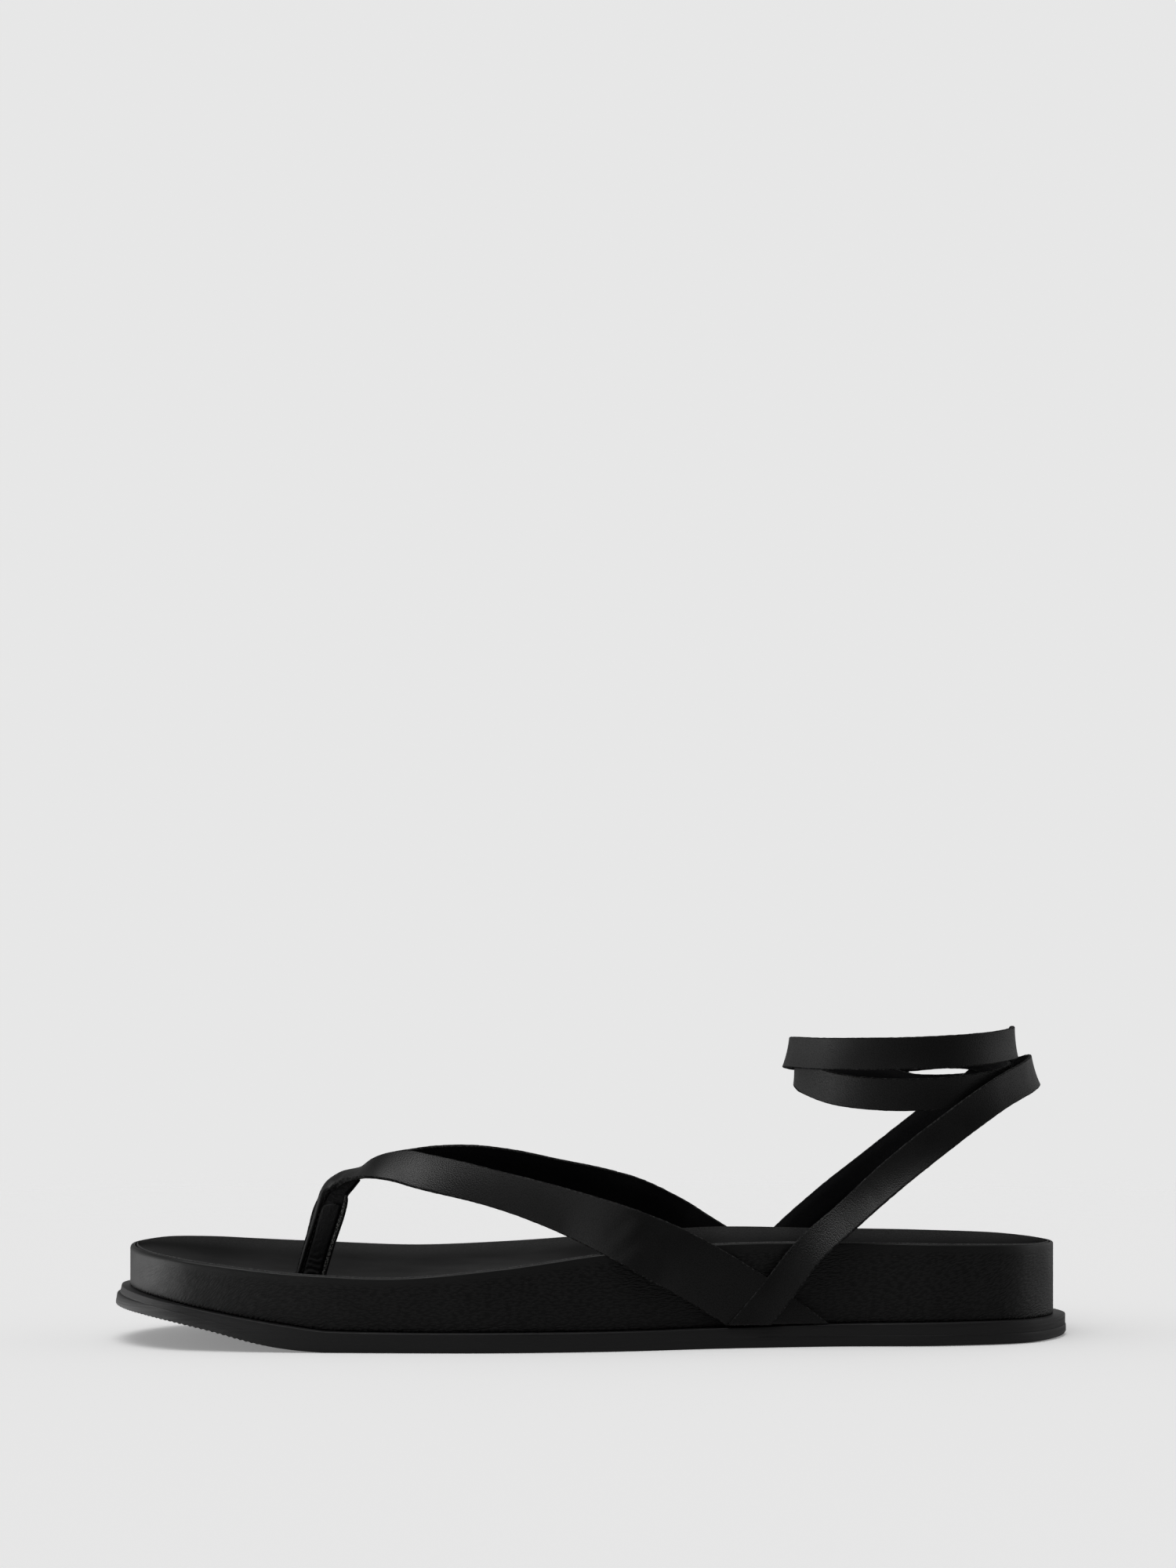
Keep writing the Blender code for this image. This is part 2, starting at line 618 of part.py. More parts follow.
def build_keeper():
    here = ankle_point(KEEPER_ANGLE, KEEPER_SPREAD, BUCKLE_Z)
    ahead = ankle_point(KEEPER_ANGLE - 1, KEEPER_SPREAD, BUCKLE_Z) - here
    matrix = placed(here, ahead)
    depth, height = KEEPER_OPENING
    outside = (KEEPER_LENGTH, depth + 2 * KEEPER_THICK, height + 2 * KEEPER_THICK)
    keeper = block("strap_keeper", outside, matrix)
    opening = helper(block("keeper_opening", (KEEPER_LENGTH * 2, depth, height), matrix))
    boolean(keeper, opening, "DIFFERENCE")
    ease = keeper.modifiers.new("eased_edges", "BEVEL")
    ease.width = EASED_EDGE * MM
    ease.segments = 2
    ease.limit_method = "ANGLE"
    return keep(keeper, strap_leather)


for leftover in list(bpy.data.objects):
    bpy.data.objects.remove(leftover)

sandal = bpy.data.collections.new("platform_sandal")
helpers = bpy.data.collections.new("cutters_and_joined_straps")
bpy.context.scene.collection.children.link(sandal)
bpy.context.scene.collection.children.link(helpers)

rubber = finish("black_rubber", (0.016, 0.016, 0.017), 0.55, 0.0)
wrap_leather = finish("black_wrap_leather", (0.012, 0.012, 0.012), 0.5, 0.0)
sock_leather = finish("black_sock_leather", (0.016, 0.016, 0.016), 0.6, 0.0)
strap_leather = finish("black_strap_leather", (0.011, 0.011, 0.011), 0.42, 0.0)
buckle_metal = finish("dark_buckle_metal", (0.12, 0.12, 0.12), 0.3, 1.0)

post_slot = build_post_slot()
build_outsole()
build_midsole()
build_insole()
build_upper()
build_buckle()
build_keeper()
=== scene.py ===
"""Platform thong sandal, right shoe: the finished look of every piece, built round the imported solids.

X runs along the shoe with the toe at -X, Y across it with the medial side at -Y, and Z up from the floor.
Tables are in millimetres, as in the solids, and are turned into metres where a mesh is made.
"""

import math
from collections import namedtuple

import bpy
import numpy as np
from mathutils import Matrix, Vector


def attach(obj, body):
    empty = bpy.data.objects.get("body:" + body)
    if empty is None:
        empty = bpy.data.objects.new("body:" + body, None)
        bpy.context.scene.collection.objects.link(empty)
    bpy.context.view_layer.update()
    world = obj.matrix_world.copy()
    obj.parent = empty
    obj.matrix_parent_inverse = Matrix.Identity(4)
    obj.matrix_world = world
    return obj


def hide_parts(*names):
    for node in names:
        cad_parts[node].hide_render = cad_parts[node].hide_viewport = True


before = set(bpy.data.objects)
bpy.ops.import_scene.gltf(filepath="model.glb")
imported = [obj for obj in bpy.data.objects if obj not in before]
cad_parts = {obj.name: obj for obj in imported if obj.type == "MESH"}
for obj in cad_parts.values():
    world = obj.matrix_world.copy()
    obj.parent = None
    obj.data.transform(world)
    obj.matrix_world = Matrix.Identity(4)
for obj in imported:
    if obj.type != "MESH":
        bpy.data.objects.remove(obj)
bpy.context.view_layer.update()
bpy.ops.object.select_all(action="DESELECT")

# Camera: square to the medial side and level, at the height of the ankle strap.
# The shoe stands low in a tall picture, so the lens is shifted up.
PHOTO_SIZE_PX = (1500, 2000)
VIEW_CENTRE_PX = (758.2, 1290.0)
FOCAL_LENGTH_PX = 3696.0
SENSOR_HEIGHT = 36.0
EYE = (0.0, -0.8015, 0.089)

bpy.ops.object.camera_add(location=EYE, rotation=(math.radians(90), 0, 0))
camera = bpy.context.object
camera.name = "side_view"
camera.data.sensor_fit = "VERTICAL"
camera.data.sensor_height = SENSOR_HEIGHT
camera.data.lens = SENSOR_HEIGHT * FOCAL_LENGTH_PX / PHOTO_SIZE_PX[1]
camera.data.shift_x = (PHOTO_SIZE_PX[0] / 2 - VIEW_CENTRE_PX[0]) / PHOTO_SIZE_PX[1]
camera.data.shift_y = (VIEW_CENTRE_PX[1] - PHOTO_SIZE_PX[1] / 2) / PHOTO_SIZE_PX[1]
bpy.context.scene.camera = camera

# Studio: a dim room with large soft lights low at the toe, at the heel and behind, and a strong one overhead.
# The camera's side is dark, which keeps black leather black; past the floor the camera sees one even grey.
BACKDROP_GREY = 0.80
SoftLight = namedtuple("SoftLight", "x y z narrow strength")
SOFT_LIGHTS = [
    SoftLight(-0.99, 0.0, 0.14, 9.0, 1.3),
    SoftLight(-0.74, -0.67, 0.05, 14.0, 0.1),
    SoftLight(-0.35, -0.93, 0.05, 14.0, 0.22),
    SoftLight(0.99, 0.0, 0.14, 9.0, 0.80),
    SoftLight(0.70, 0.70, 0.14, 9.0, 0.45),
    SoftLight(0.0, 1.0, 0.02, 30.0, 0.5),
    SoftLight(-0.70, 0.70, 0.14, 9.0, 0.35),
    SoftLight(0.0, 0.71, 0.71, 9.0, 0.2),
    SoftLight(0.0, 0.0, 1.0, 9.0, 0.5),
    SoftLight(-0.12, -0.30, 0.95, 20.0, 3.5),
]


def add_node(tree, kind, sockets=None, **settings):
    """A node with its settings; sockets gives an input a value, or links it to another node's output."""
    node = tree.nodes.new(kind)
    for name, value in settings.items():
        setattr(node, name, value)
    for name, value in (sockets or {}).items():
        if isinstance(value, bpy.types.NodeSocket):
            tree.links.new(value, node.inputs[name])
        else:
            node.inputs[name].default_value = value
    return node


def calculate(tree, operation, *values):
    """The result of a Math node on numbers and other nodes' outputs."""
    return add_node(tree, "ShaderNodeMath", dict(enumerate(values)), operation=operation).outputs["Value"]


def coordinates(tree, kind):
    """A Texture Coordinate output, such as Object or UV."""
    return add_node(tree, "ShaderNodeTexCoord").outputs[kind]


def ramp_between(tree, value, low, high, result_low=0.0, result_high=1.0):
    """A soft step of a value from one level to another."""
    sockets = {"Value": value, "From Min": low, "From Max": high, "To Min": result_low, "To Max": result_high}
    step = add_node(tree, "ShaderNodeMapRange", sockets, interpolation_type="SMOOTHSTEP")
    return step.outputs["Result"]


world = bpy.data.worlds.new("pale_studio")
bpy.context.scene.world = world
bpy.context.scene.view_settings.view_transform = "Standard"
world.use_nodes = True
tree = world.node_tree
tree.nodes.clear()
direction = coordinates(tree, "Generated")
lights = 0.0
for light in SOFT_LIGHTS:
    toward = {0: direction, 1: (light.x, light.y, light.z)}
    facing = add_node(tree, "ShaderNodeVectorMath", toward, operation="DOT_PRODUCT").outputs["Value"]
    power = calculate(tree, "MULTIPLY_ADD", facing, light.narrow, -light.narrow)
    lobe = calculate(tree, "EXPONENT", power)
    lights = calculate(tree, "MULTIPLY_ADD", lobe, light.strength, lights)
room = add_node(tree, "ShaderNodeBackground", {"Strength": lights}).outputs["Background"]
grey = (BACKDROP_GREY, BACKDROP_GREY, BACKDROP_GREY, 1.0)
backdrop = add_node(tree, "ShaderNodeBackground", {"Color": grey}).outputs["Background"]
seen = add_node(tree, "ShaderNodeLightPath").outputs["Is Camera Ray"]
either = add_node(tree, "ShaderNodeMixShader", {"Fac": seen, 1: room, 2: backdrop}).outputs["Shader"]
add_node(tree, "ShaderNodeOutputWorld", {"Surface": either})

# Floor: a pale glowing table that fades into the backdrop away from the shoe and takes only a soft shadow.
# The shoe is lit by less of its light than the camera sees, apart from a bright pool beside the toe.
FLOOR_RADIUS = 0.9
FLOOR_SOLID = 0.30
FLOOR_FADED = 0.855
FLOOR_GREY = 1.24
FLOOR_GREY_ON_SHOE = 0.25
FLOOR_GLOW = 0.20
FLOOR_GLOW_ON_SHOE = 0.085
POOL_PLACE = (-0.35, -0.08, 0.0)
POOL_REACH = 0.29
POOL_GLOW = 4.4

bpy.ops.mesh.primitive_circle_add(vertices=96, radius=FLOOR_RADIUS, fill_type="NGON")
floor = bpy.context.object
floor.name = "pale_floor"
floor_paint = bpy.data.materials.new("pale_floor_paint")
floor_paint.use_nodes = True
tree = floor_paint.node_tree
tree.nodes.clear()
place = coordinates(tree, "Object")
away = add_node(tree, "ShaderNodeVectorMath", {0: place}, operation="LENGTH").outputs["Value"]
fade = ramp_between(tree, away, FLOOR_SOLID, FLOOR_FADED)
underneath = add_node(tree, "ShaderNodeNewGeometry").outputs["Backfacing"]
hidden = calculate(tree, "MAXIMUM", fade, underneath)
seen = add_node(tree, "ShaderNodeLightPath").outputs["Is Camera Ray"]
between = {0: place, 1: POOL_PLACE}
from_pool = add_node(tree, "ShaderNodeVectorMath", between, operation="DISTANCE").outputs["Value"]
pool = ramp_between(tree, from_pool, POOL_REACH, 0.0, FLOOR_GLOW_ON_SHOE, POOL_GLOW)
glow = ramp_between(tree, seen, 0.0, 1.0, pool, FLOOR_GLOW)
glowing = add_node(tree, "ShaderNodeEmission", {"Strength": glow}).outputs["Emission"]
grey = ramp_between(tree, seen, 0.0, 1.0, FLOOR_GREY_ON_SHOE, FLOOR_GREY)
matt = add_node(tree, "ShaderNodeBsdfDiffuse", {"Color": grey}).outputs["BSDF"]
table = add_node(tree, "ShaderNodeAddShader", {0: glowing, 1: matt}).outputs["Shader"]
clear = add_node(tree, "ShaderNodeBsdfTransparent").outputs["BSDF"]
either = add_node(tree, "ShaderNodeMixShader", {"Fac": hidden, 1: table, 2: clear}).outputs["Shader"]
add_node(tree, "ShaderNodeOutputMaterial", {"Surface": either})
floor.data.materials.append(floor_paint)

# Outsole: one rubber moulding, glued under the footbed and standing out past it as a ledge.
# Its edge has a tread layer at the floor and a band set back above it; the toe and heel edges are ribbed.
MM = 0.001
GAP = 0.3
SoleSection = namedtuple("SoleSection", "x bottom tread ledge medial lateral rim_medial rim_lateral cup")
SOLE = [
    SoleSection(-130.4, 10.0, 5.1, 4.0, -10.5, -10.5, 26.0, 26.0, 0.0),
    SoleSection(-123.5, 9.3, 4.9, 3.5, -31.5, 12.5, 25.1, 25.9, 1.2),
    SoleSection(-110.0, 7.3, 4.8, 3.0, -42.5, 25.0, 23.7, 25.0, 3.0),
    SoleSection(-100.0, 5.1, 5.1, 2.8, -44.6, 31.5, 22.5, 24.0, 3.4),
    SoleSection(-90.0, 2.5, 5.9, 2.8, -45.7, 36.8, 21.3, 23.1, 3.6),
    SoleSection(-80.0, 0.8, 6.0, 2.8, -46.4, 40.8, 20.3, 22.4, 3.6),
    SoleSection(-70.0, 0.0, 5.5, 2.8, -47.0, 43.8, 19.7, 21.7, 3.6),
    SoleSection(-55.0, 0.0, 5.2, 2.8, -47.7, 46.4, 19.2, 21.0, 3.6),
    SoleSection(-25.0, 0.0, 5.1, 2.8, -48.0, 48.0, 21.6, 21.9, 4.0),
    SoleSection(5.0, 0.0, 5.1, 2.8, -44.5, 46.0, 25.5, 24.2, 5.0),
    SoleSection(35.0, 0.0, 5.4, 2.8, -37.2, 41.6, 27.4, 26.5, 5.4),
    SoleSection(65.0, 0.0, 5.9, 2.8, -32.6, 38.0, 27.4, 26.4, 5.4),
    SoleSection(95.0, 0.0, 6.2, 2.8, -31.8, 35.4, 26.8, 26.1, 5.0),
    SoleSection(117.8, 0.0, 6.2, 3.0, -24.0, 27.5, 26.2, 25.8, 3.0),
    SoleSection(130.4, 0.0, 5.8, 3.5, 1.5, 1.5, 25.6, 25.6, 0.0),
]
EDGE_SHELF = 3.0
TREAD_LAYER = 3.0
TREAD_BEVEL = 0.4
TREAD_ROUND = 0.4
HEEL_CHAMFER = (1.6, 1.1)
HEEL_CHAMFER_START = 70.0
BandStep = namedtuple("BandStep", "x step")
BAND_STEPS = [
    BandStep(-130.4, 0.7),
    BandStep(-124.0, 0.45),
    BandStep(-117.0, 0.0),
    BandStep(20.0, 0.0),
    BandStep(60.0, 0.12),
    BandStep(131.0, 0.2),
]
BAND_ROUND = 0.2
TOE_FLARE = 1.0
TOE_FLARE_START = -85.0
RIB_PITCH = 1.5
RIB_DEPTH = 0.3
TOE_RIBS_END = -84.0
HEEL_RIBS_START = 121.0
RIBS_FADE = 8.0
OUTSOLE_AROUND = 1800
OUTLINE_OVERLAP = 3
RUBBER_COLOUR = (0.021, 0.021, 0.0215)
RUBBER_ROUGH = (0.34, 0.5)
MOULD_LINES = (45.0, 45.0, 1700.0)
RUBBER_SPECKS = 2600.0
TREAD_WAVES = 210.0
NOISE_RANGE = (0.3, 0.7)


def smooth(knots, values, at):
    """A cubic curve through values at the increasing knots, read at the places in at."""
    knots = np.asarray(knots, float)
    values = np.asarray(values, float)
    at = np.asarray(at, float)
    slopes = np.gradient(values, knots, axis=0)
    piece = np.clip(np.searchsorted(knots, at) - 1, 0, len(knots) - 2)
    span = knots[piece + 1] - knots[piece]
    t = (at - knots[piece]) / span
    if values.ndim > 1:
        span = span[..., None]
        t = t[..., None]
    start = values[piece] * (2 * t**3 - 3 * t**2 + 1) + slopes[piece] * span * (t**3 - 2 * t**2 + t)
    end = values[piece + 1] * (3 * t**2 - 2 * t**3) + slopes[piece + 1] * span * (t**3 - t**2)
    return start + end


def travelled(points):
    """Distance along a line of points, up to each of them."""
    steps = np.linalg.norm(np.diff(points, axis=0), axis=1)
    return np.concatenate([[0.0], np.cumsum(steps)])


def sole_value(column, x):
    """A column of the sole's table at any x."""
    stations = [row.x for row in SOLE]
    values = [getattr(row, column) for row in SOLE]
    return smooth(stations, values, np.clip(x, stations[0], stations[-1]))


def sole_outline(count):
    """The outsole's outline from the toe tip, down the medial side and back up the lateral side."""
    medial = [(row.x, row.medial) for row in SOLE]
    lateral = [(row.x, row.lateral) for row in SOLE[-2:0:-1]]
    corners = np.array(medial + lateral)
    toe_tip = OUTLINE_OVERLAP
    closed = np.vstack([corners[-OUTLINE_OVERLAP:], corners, corners[:OUTLINE_OVERLAP]])
    along = travelled(closed)
    heel_tip = toe_tip + len(medial) - 1
    points = []
    for first, last in ((toe_tip, heel_tip), (heel_tip, toe_tip + len(corners))):
        fine = smooth(along, closed, np.linspace(along[first], along[last], 4 * count))
        run = travelled(fine)
        even = np.linspace(0.0, run[-1], count // 2 + 1)[:-1]
        points.append(np.column_stack([np.interp(even, run, fine[:, axis]) for axis in (0, 1)]))
    return np.vstack(points)


def inset(outline, amount):
    """The outline moved inwards."""
    ahead = np.roll(outline, -1, axis=0) - np.roll(outline, 1, axis=0)
    ahead /= np.linalg.norm(ahead, axis=1)[:, None]
    inward = np.column_stack([-ahead[:, 1], ahead[:, 0]])
    return outline + inward * np.reshape(amount * np.ones(len(outline)), (-1, 1))


def opposite(ring):
    """For each point of a ring, the point across the sole from it."""
    return np.roll(ring[::-1], 1, axis=0)


def toward_middle(ring, share):
    """A ring drawn in towards the sole's middle line, where its two sides meet."""
    return ring + (opposite(ring) - ring) * (share / 2)


def at_height(ring, height):
    """A flat ring as points in space, at one height or at a height for each point."""
    return np.column_stack([ring, height * np.ones(len(ring))])


def underside(x):
    """Height of the sole's underside: on the floor, and springing up at the toe."""
    return np.maximum(sole_value("bottom", x), 0.0)


def ledge_height(x):
    """Height of the outsole's top face."""
    return underside(x) + sole_value("tread", x)


def stacked_rings(name, rings):
    """A skin through a stack of rings: a circle, extruded once for each further ring and laid on them."""
    rings = np.asarray(rings, float)
    bpy.ops.mesh.primitive_circle_add(vertices=rings.shape[1], radius=1.0)
    piece = bpy.context.object
    piece.name = name
    piece.data.name = name
    bpy.ops.object.mode_set(mode="EDIT")
    bpy.ops.mesh.select_all(action="SELECT")
    for ring in rings[1:]:
        bpy.ops.mesh.extrude_edges_move()
    bpy.ops.object.mode_set(mode="OBJECT")
    piece.data.vertices.foreach_set("co", (rings * MM).ravel())
    piece.data.update()
    return piece


def close_skin(piece, smooth_angle):
    """Merges a skin's doubled points, closes its ends and turns its faces outwards."""
    bpy.ops.object.select_all(action="DESELECT")
    piece.select_set(True)
    bpy.context.view_layer.objects.active = piece
    bpy.ops.object.mode_set(mode="EDIT")
    bpy.ops.mesh.select_all(action="SELECT")
    bpy.ops.mesh.remove_doubles(threshold=0.000002)
    bpy.ops.mesh.fill_holes(sides=0)
    bpy.ops.mesh.select_all(action="SELECT")
    bpy.ops.mesh.normals_make_consistent(inside=False)
    bpy.ops.object.mode_set(mode="OBJECT")
    bpy.ops.object.shade_smooth_by_angle(angle=math.radians(smooth_angle))


def new_material(name, colour, roughness, specular):
    """A material, its node tree and its Principled BSDF."""
    material = bpy.data.materials.new(name)
    material.use_nodes = True
    shader = material.node_tree.nodes["Principled BSDF"]
    shader.inputs["Base Color"].default_value = (*colour, 1.0)
    shader.inputs["Roughness"].default_value = roughness
    shader.inputs["Specular IOR Level"].default_value = specular
    return material, material.node_tree, shader


def bump(tree, height, strength, depth, normal=None):
    """A bump over the surface, or over another bump."""
    sockets = {"Height": height, "Strength": strength, "Distance": depth * MM}
    if normal:
        sockets["Normal"] = normal
    return add_node(tree, "ShaderNodeBump", sockets).outputs["Normal"]


def noise(tree, vector, scale, detail, kind="Fac"):
    """A cloudy pattern, as a value or as a colour."""
    sockets = {"Vector": vector, "Scale": scale, "Detail": detail}
    return add_node(tree, "ShaderNodeTexNoise", sockets).outputs[kind]


def varied(tree, pattern, low, high):
    """A noise pattern spread between two values."""
    return ramp_between(tree, pattern, *NOISE_RANGE, low, high)


outline = sole_outline(OUTSOLE_AROUND)
x = outline[:, 0]
low = underside(x)
top = ledge_height(x)
ledge = sole_value("ledge", x)
flare = TOE_FLARE * np.clip((TOE_FLARE_START - x) / (TOE_FLARE_START - SOLE[0].x), 0.0, 1.0)
heel = np.clip((x - HEEL_CHAMFER_START) / (SOLE[-3].x - HEEL_CHAMFER_START), 0.0, 1.0)
bevel_in = TREAD_BEVEL + (HEEL_CHAMFER[0] - TREAD_BEVEL) * heel
bevel_up = TREAD_BEVEL + (HEEL_CHAMFER[1] - TREAD_BEVEL) * heel
around = travelled(outline)
ribbed = np.clip((TOE_RIBS_END - x) / RIBS_FADE, 0, 1) + np.clip((x - HEEL_RIBS_START) / RIBS_FADE, 0, 1)
rib = ribbed * RIB_DEPTH * (0.5 + 0.5 * np.cos(2 * math.pi * around / RIB_PITCH))
step = np.interp(x, [row.x for row in BAND_STEPS], [row.step for row in BAND_STEPS])
inner_low = inset(outline, bevel_in + EDGE_SHELF)
inner_top = inset(outline, ledge + EDGE_SHELF)
rings = []
for share in (1.0, 0.6, 0.3):
    ring = toward_middle(inner_low, share)
    rings.append(at_height(ring, low))
sole_edge = [
    (bevel_in + EDGE_SHELF, low),
    (bevel_in, low + rib),
    (bevel_in * 0.3, low + bevel_up * 0.32 + rib * 0.7),
    (flare * 0.1, low + bevel_up + rib * 0.3),
    (flare * 0.3, low + 0.5 * (bevel_up + TREAD_LAYER)),
    (flare * 0.45, low + TREAD_LAYER - TREAD_ROUND),
    (flare * 0.5 + step * 0.16, low + TREAD_LAYER - TREAD_ROUND * 0.4),
    (flare * 0.5 + step * 0.44, low + TREAD_LAYER - TREAD_ROUND * 0.125),
    (flare * 0.55 + step * 1.1, low + TREAD_LAYER),
    (flare * 0.6 + step, low + TREAD_LAYER + TREAD_ROUND * 0.35),
    (flare * 0.8 + step, (low + TREAD_LAYER + top - BAND_ROUND) / 2),
    (flare + step, top - BAND_ROUND),
    (flare + step + BAND_ROUND * 0.14, top - BAND_ROUND * 0.5),
    (flare + step + BAND_ROUND * 0.5, top - BAND_ROUND * 0.14),
    (flare + step + BAND_ROUND, top),
    (ledge + EDGE_SHELF, top),
]
for amount, height in sole_edge:
    rings.append(at_height(inset(outline, amount), height))
for share in (0.5, 1.0):
    rings.append(at_height(toward_middle(inner_top, share), top))
outsole = stacked_rings("outsole_moulding", rings)
close_skin(outsole, 32)

rubber, tree, shader = new_material("satin_black_rubber", RUBBER_COLOUR, 0.46, 0.45)
place = coordinates(tree, "Object")
level = add_node(tree, "ShaderNodeMapping", {"Vector": place, "Scale": MOULD_LINES}).outputs["Vector"]
lines = noise(tree, level, 1.0, 3.0)
specks = noise(tree, place, RUBBER_SPECKS, 2.0)
tree.links.new(varied(tree, lines, *RUBBER_ROUGH), shader.inputs["Roughness"])
fine = bump(tree, specks, 0.15, 0.1)
drawn = bump(tree, lines, 0.3, 0.2, fine)
normal = add_node(tree, "ShaderNodeNewGeometry").outputs["True Normal"]
face = add_node(tree, "ShaderNodeSeparateXYZ", {"Vector": normal})
facing_floor = ramp_between(tree, face.outputs["Z"], -0.9, -0.97)
tread_lines = {"Vector": place, "Scale": TREAD_WAVES}
waves = add_node(tree, "ShaderNodeTexWave", tread_lines, bands_direction="X").outputs["Fac"]
tread = calculate(tree, "MULTIPLY", waves, facing_floor)
tree.links.new(bump(tree, tread, 0.8, 0.6, drawn), shader.inputs["Normal"])
outsole.data.materials.append(rubber)
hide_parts("outsole")
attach(outsole, "root")

# Midsole: a light shaped core wrapped in thin leather, which turns over the rim and tucks in at the ledge.
# It keeps fine creases, slanting at the toe and heel and level between, and puckers where it tucks in.
# Its colour is painted darker in the creases' hollows and paler on their ridges: painted shade and painted
# highlight.
RIM_ROUND_SIDE = 0.5
RIM_ROUND_TOE = 1.1
RIM_ROUND_HEEL = 0.6
RIM_ROUND_CHANGE = 0.55
RIM_ROUND_STEPS = 8
RIM_EASED = 0.12
WRAP_SEAT = 0.06
WRAP_TUCK = 0.42
WRAP_UNDER = 4.0
INSOLE_THICK = 1.1
INSOLE_PROUD = 0.2
CUP_POWER = 2.4
MIDSOLE_AROUND = 2200
WALL_ROWS = 14
CUP_RINGS = (0.1, 0.25, 0.45, 0.7, 1.0)
PUCKER_DEPTH = 0.17
PUCKER_TOE = (-90.0, -50.0)
PUCKER_ELSEWHERE = 0.45
PuckerWave = namedtuple("PuckerWave", "pace height sway sway_pace")
PUCKER_WAVES = [PuckerWave(5.1, 1.0, 2.0, 0.37), PuckerWave(8.3, 0.7, 1.3, 0.61)]
SLACK_UNDER_RIM = (1.0, 3.2)
SLACK_FROM_TOE = (8.0, 24.0)
SLACK_AT_TOE = 0.15
STATION_STEP = 0.5
CreaseSlope = namedtuple("CreaseSlope", "x slope")
CREASE_SLOPES = [
    CreaseSlope(-131, 1.0),
    CreaseSlope(-98, 1.0),
    CreaseSlope(-86, 0.35),
    CreaseSlope(-72, 0.0),
    CreaseSlope(-25, 0.08),
    CreaseSlope(0, 0.0),
    CreaseSlope(60, 0.15),
    CreaseSlope(92, 0.2),
    CreaseSlope(108, 0.4),
    CreaseSlope(131, 0.4),
]
CREASE_CELLS = {
    "Size": (560.0, 2400.0, 1.0),
    "Shake": (0.0008, 0.0006, 0.0),
    "Shakes": 800.0,
    "Randomness": 1.0,
    "Smoothness": 0.6,
}
WRAP_PAINTED_RIDGE_SHEEN, WRAP_PAINTED_CREASE_SHADE = 0.0105, 0.0004
WRAP_ROUGH = (0.38, 0.48)


def rim_round(x):
    """The wrap's turn-over round, from the sides to the toe and heel ends."""
    share = np.clip((np.abs(x) / SOLE[-1].x - RIM_ROUND_CHANGE) / (1 - RIM_ROUND_CHANGE), 0.0, 1.0)
    return RIM_ROUND_SIDE + (np.where(x < 0, RIM_ROUND_TOE, RIM_ROUND_HEEL) - RIM_ROUND_SIDE) * share


def cupped(ring, height, share):
    """A footbed ring drawn in towards the middle: its height runs across from rim to rim, sunk by the cup."""
    drawn_in = toward_middle(ring, share)
    across = height + (opposite(height[:, None])[:, 0] - height) * (share / 2)
    dip = sole_value("cup", drawn_in[:, 0]) * (1 - abs(share - 1) ** CUP_POWER)
    return at_height(drawn_in, across - dip)


def point_values(piece, name, values):
    """Gives every point of a piece a value that its material can read."""
    piece.data.attributes.new(name, "FLOAT", "POINT").data.foreach_set("value", values)


def point_value(tree, name):
    """A value that the points of a piece were given."""
    return add_node(tree, "ShaderNodeAttribute", attribute_name=name).outputs["Fac"]


outline = sole_outline(MIDSOLE_AROUND)
x = outline[:, 0]
is_medial = np.arange(MIDSOLE_AROUND) <= MIDSOLE_AROUND // 2
rim = np.where(is_medial, sole_value("rim_medial", x), sole_value("rim_lateral", x))
low = ledge_height(x) + WRAP_SEAT
turn = rim_round(x)
ledge = sole_value("ledge", x)
wall_top = rim - turn
around = travelled(outline)
gather = 0.0
for wave in PUCKER_WAVES:
    gather = gather + wave.height * np.sin(around * wave.pace + wave.sway * np.sin(around * wave.sway_pace))
pucker = PUCKER_DEPTH * gather * np.interp(x, PUCKER_TOE, (1.0, PUCKER_ELSEWHERE))
edges = [
    (ledge + WRAP_UNDER, low),
    (ledge + WRAP_TUCK + pucker, low),
    (ledge + WRAP_TUCK * 0.3 + pucker, low + WRAP_TUCK * 0.3),
    (ledge + pucker * 0.5, low + WRAP_TUCK),
    (ledge + pucker * 0.08, low + 2 * WRAP_TUCK),
]
for row in range(WALL_ROWS):
    share = row / WALL_ROWS
    edges.append((ledge, low + 3 * WRAP_TUCK + (wall_top - low - 3 * WRAP_TUCK) * share))
for step in range(RIM_ROUND_STEPS + 1):
    angle = math.radians(90 * step / RIM_ROUND_STEPS)
    edges.append((ledge + turn * (1 - math.cos(angle)), rim - turn * (1 - math.sin(angle))))
seat = INSOLE_THICK + GAP - INSOLE_PROUD
edges.append((ledge + turn + 0.5 * GAP, rim - RIM_EASED))
edges.append((ledge + turn + GAP, rim - seat))
under_edge = inset(outline, ledge + WRAP_UNDER)
rings = [at_height(toward_middle(under_edge, share), low) for share in (1.0, 0.5)]
for amount, height in edges:
    rings.append(at_height(inset(outline, amount), height))
seat_edge = inset(outline, ledge + turn + GAP)
for share in CUP_RINGS:
    rings.append(cupped(seat_edge, rim - seat, share))
midsole = stacked_rings("wrapped_footbed", rings)
point_values(midsole, "wall_place", np.tile(around * MM, len(rings)))
close_skin(midsole, 40)

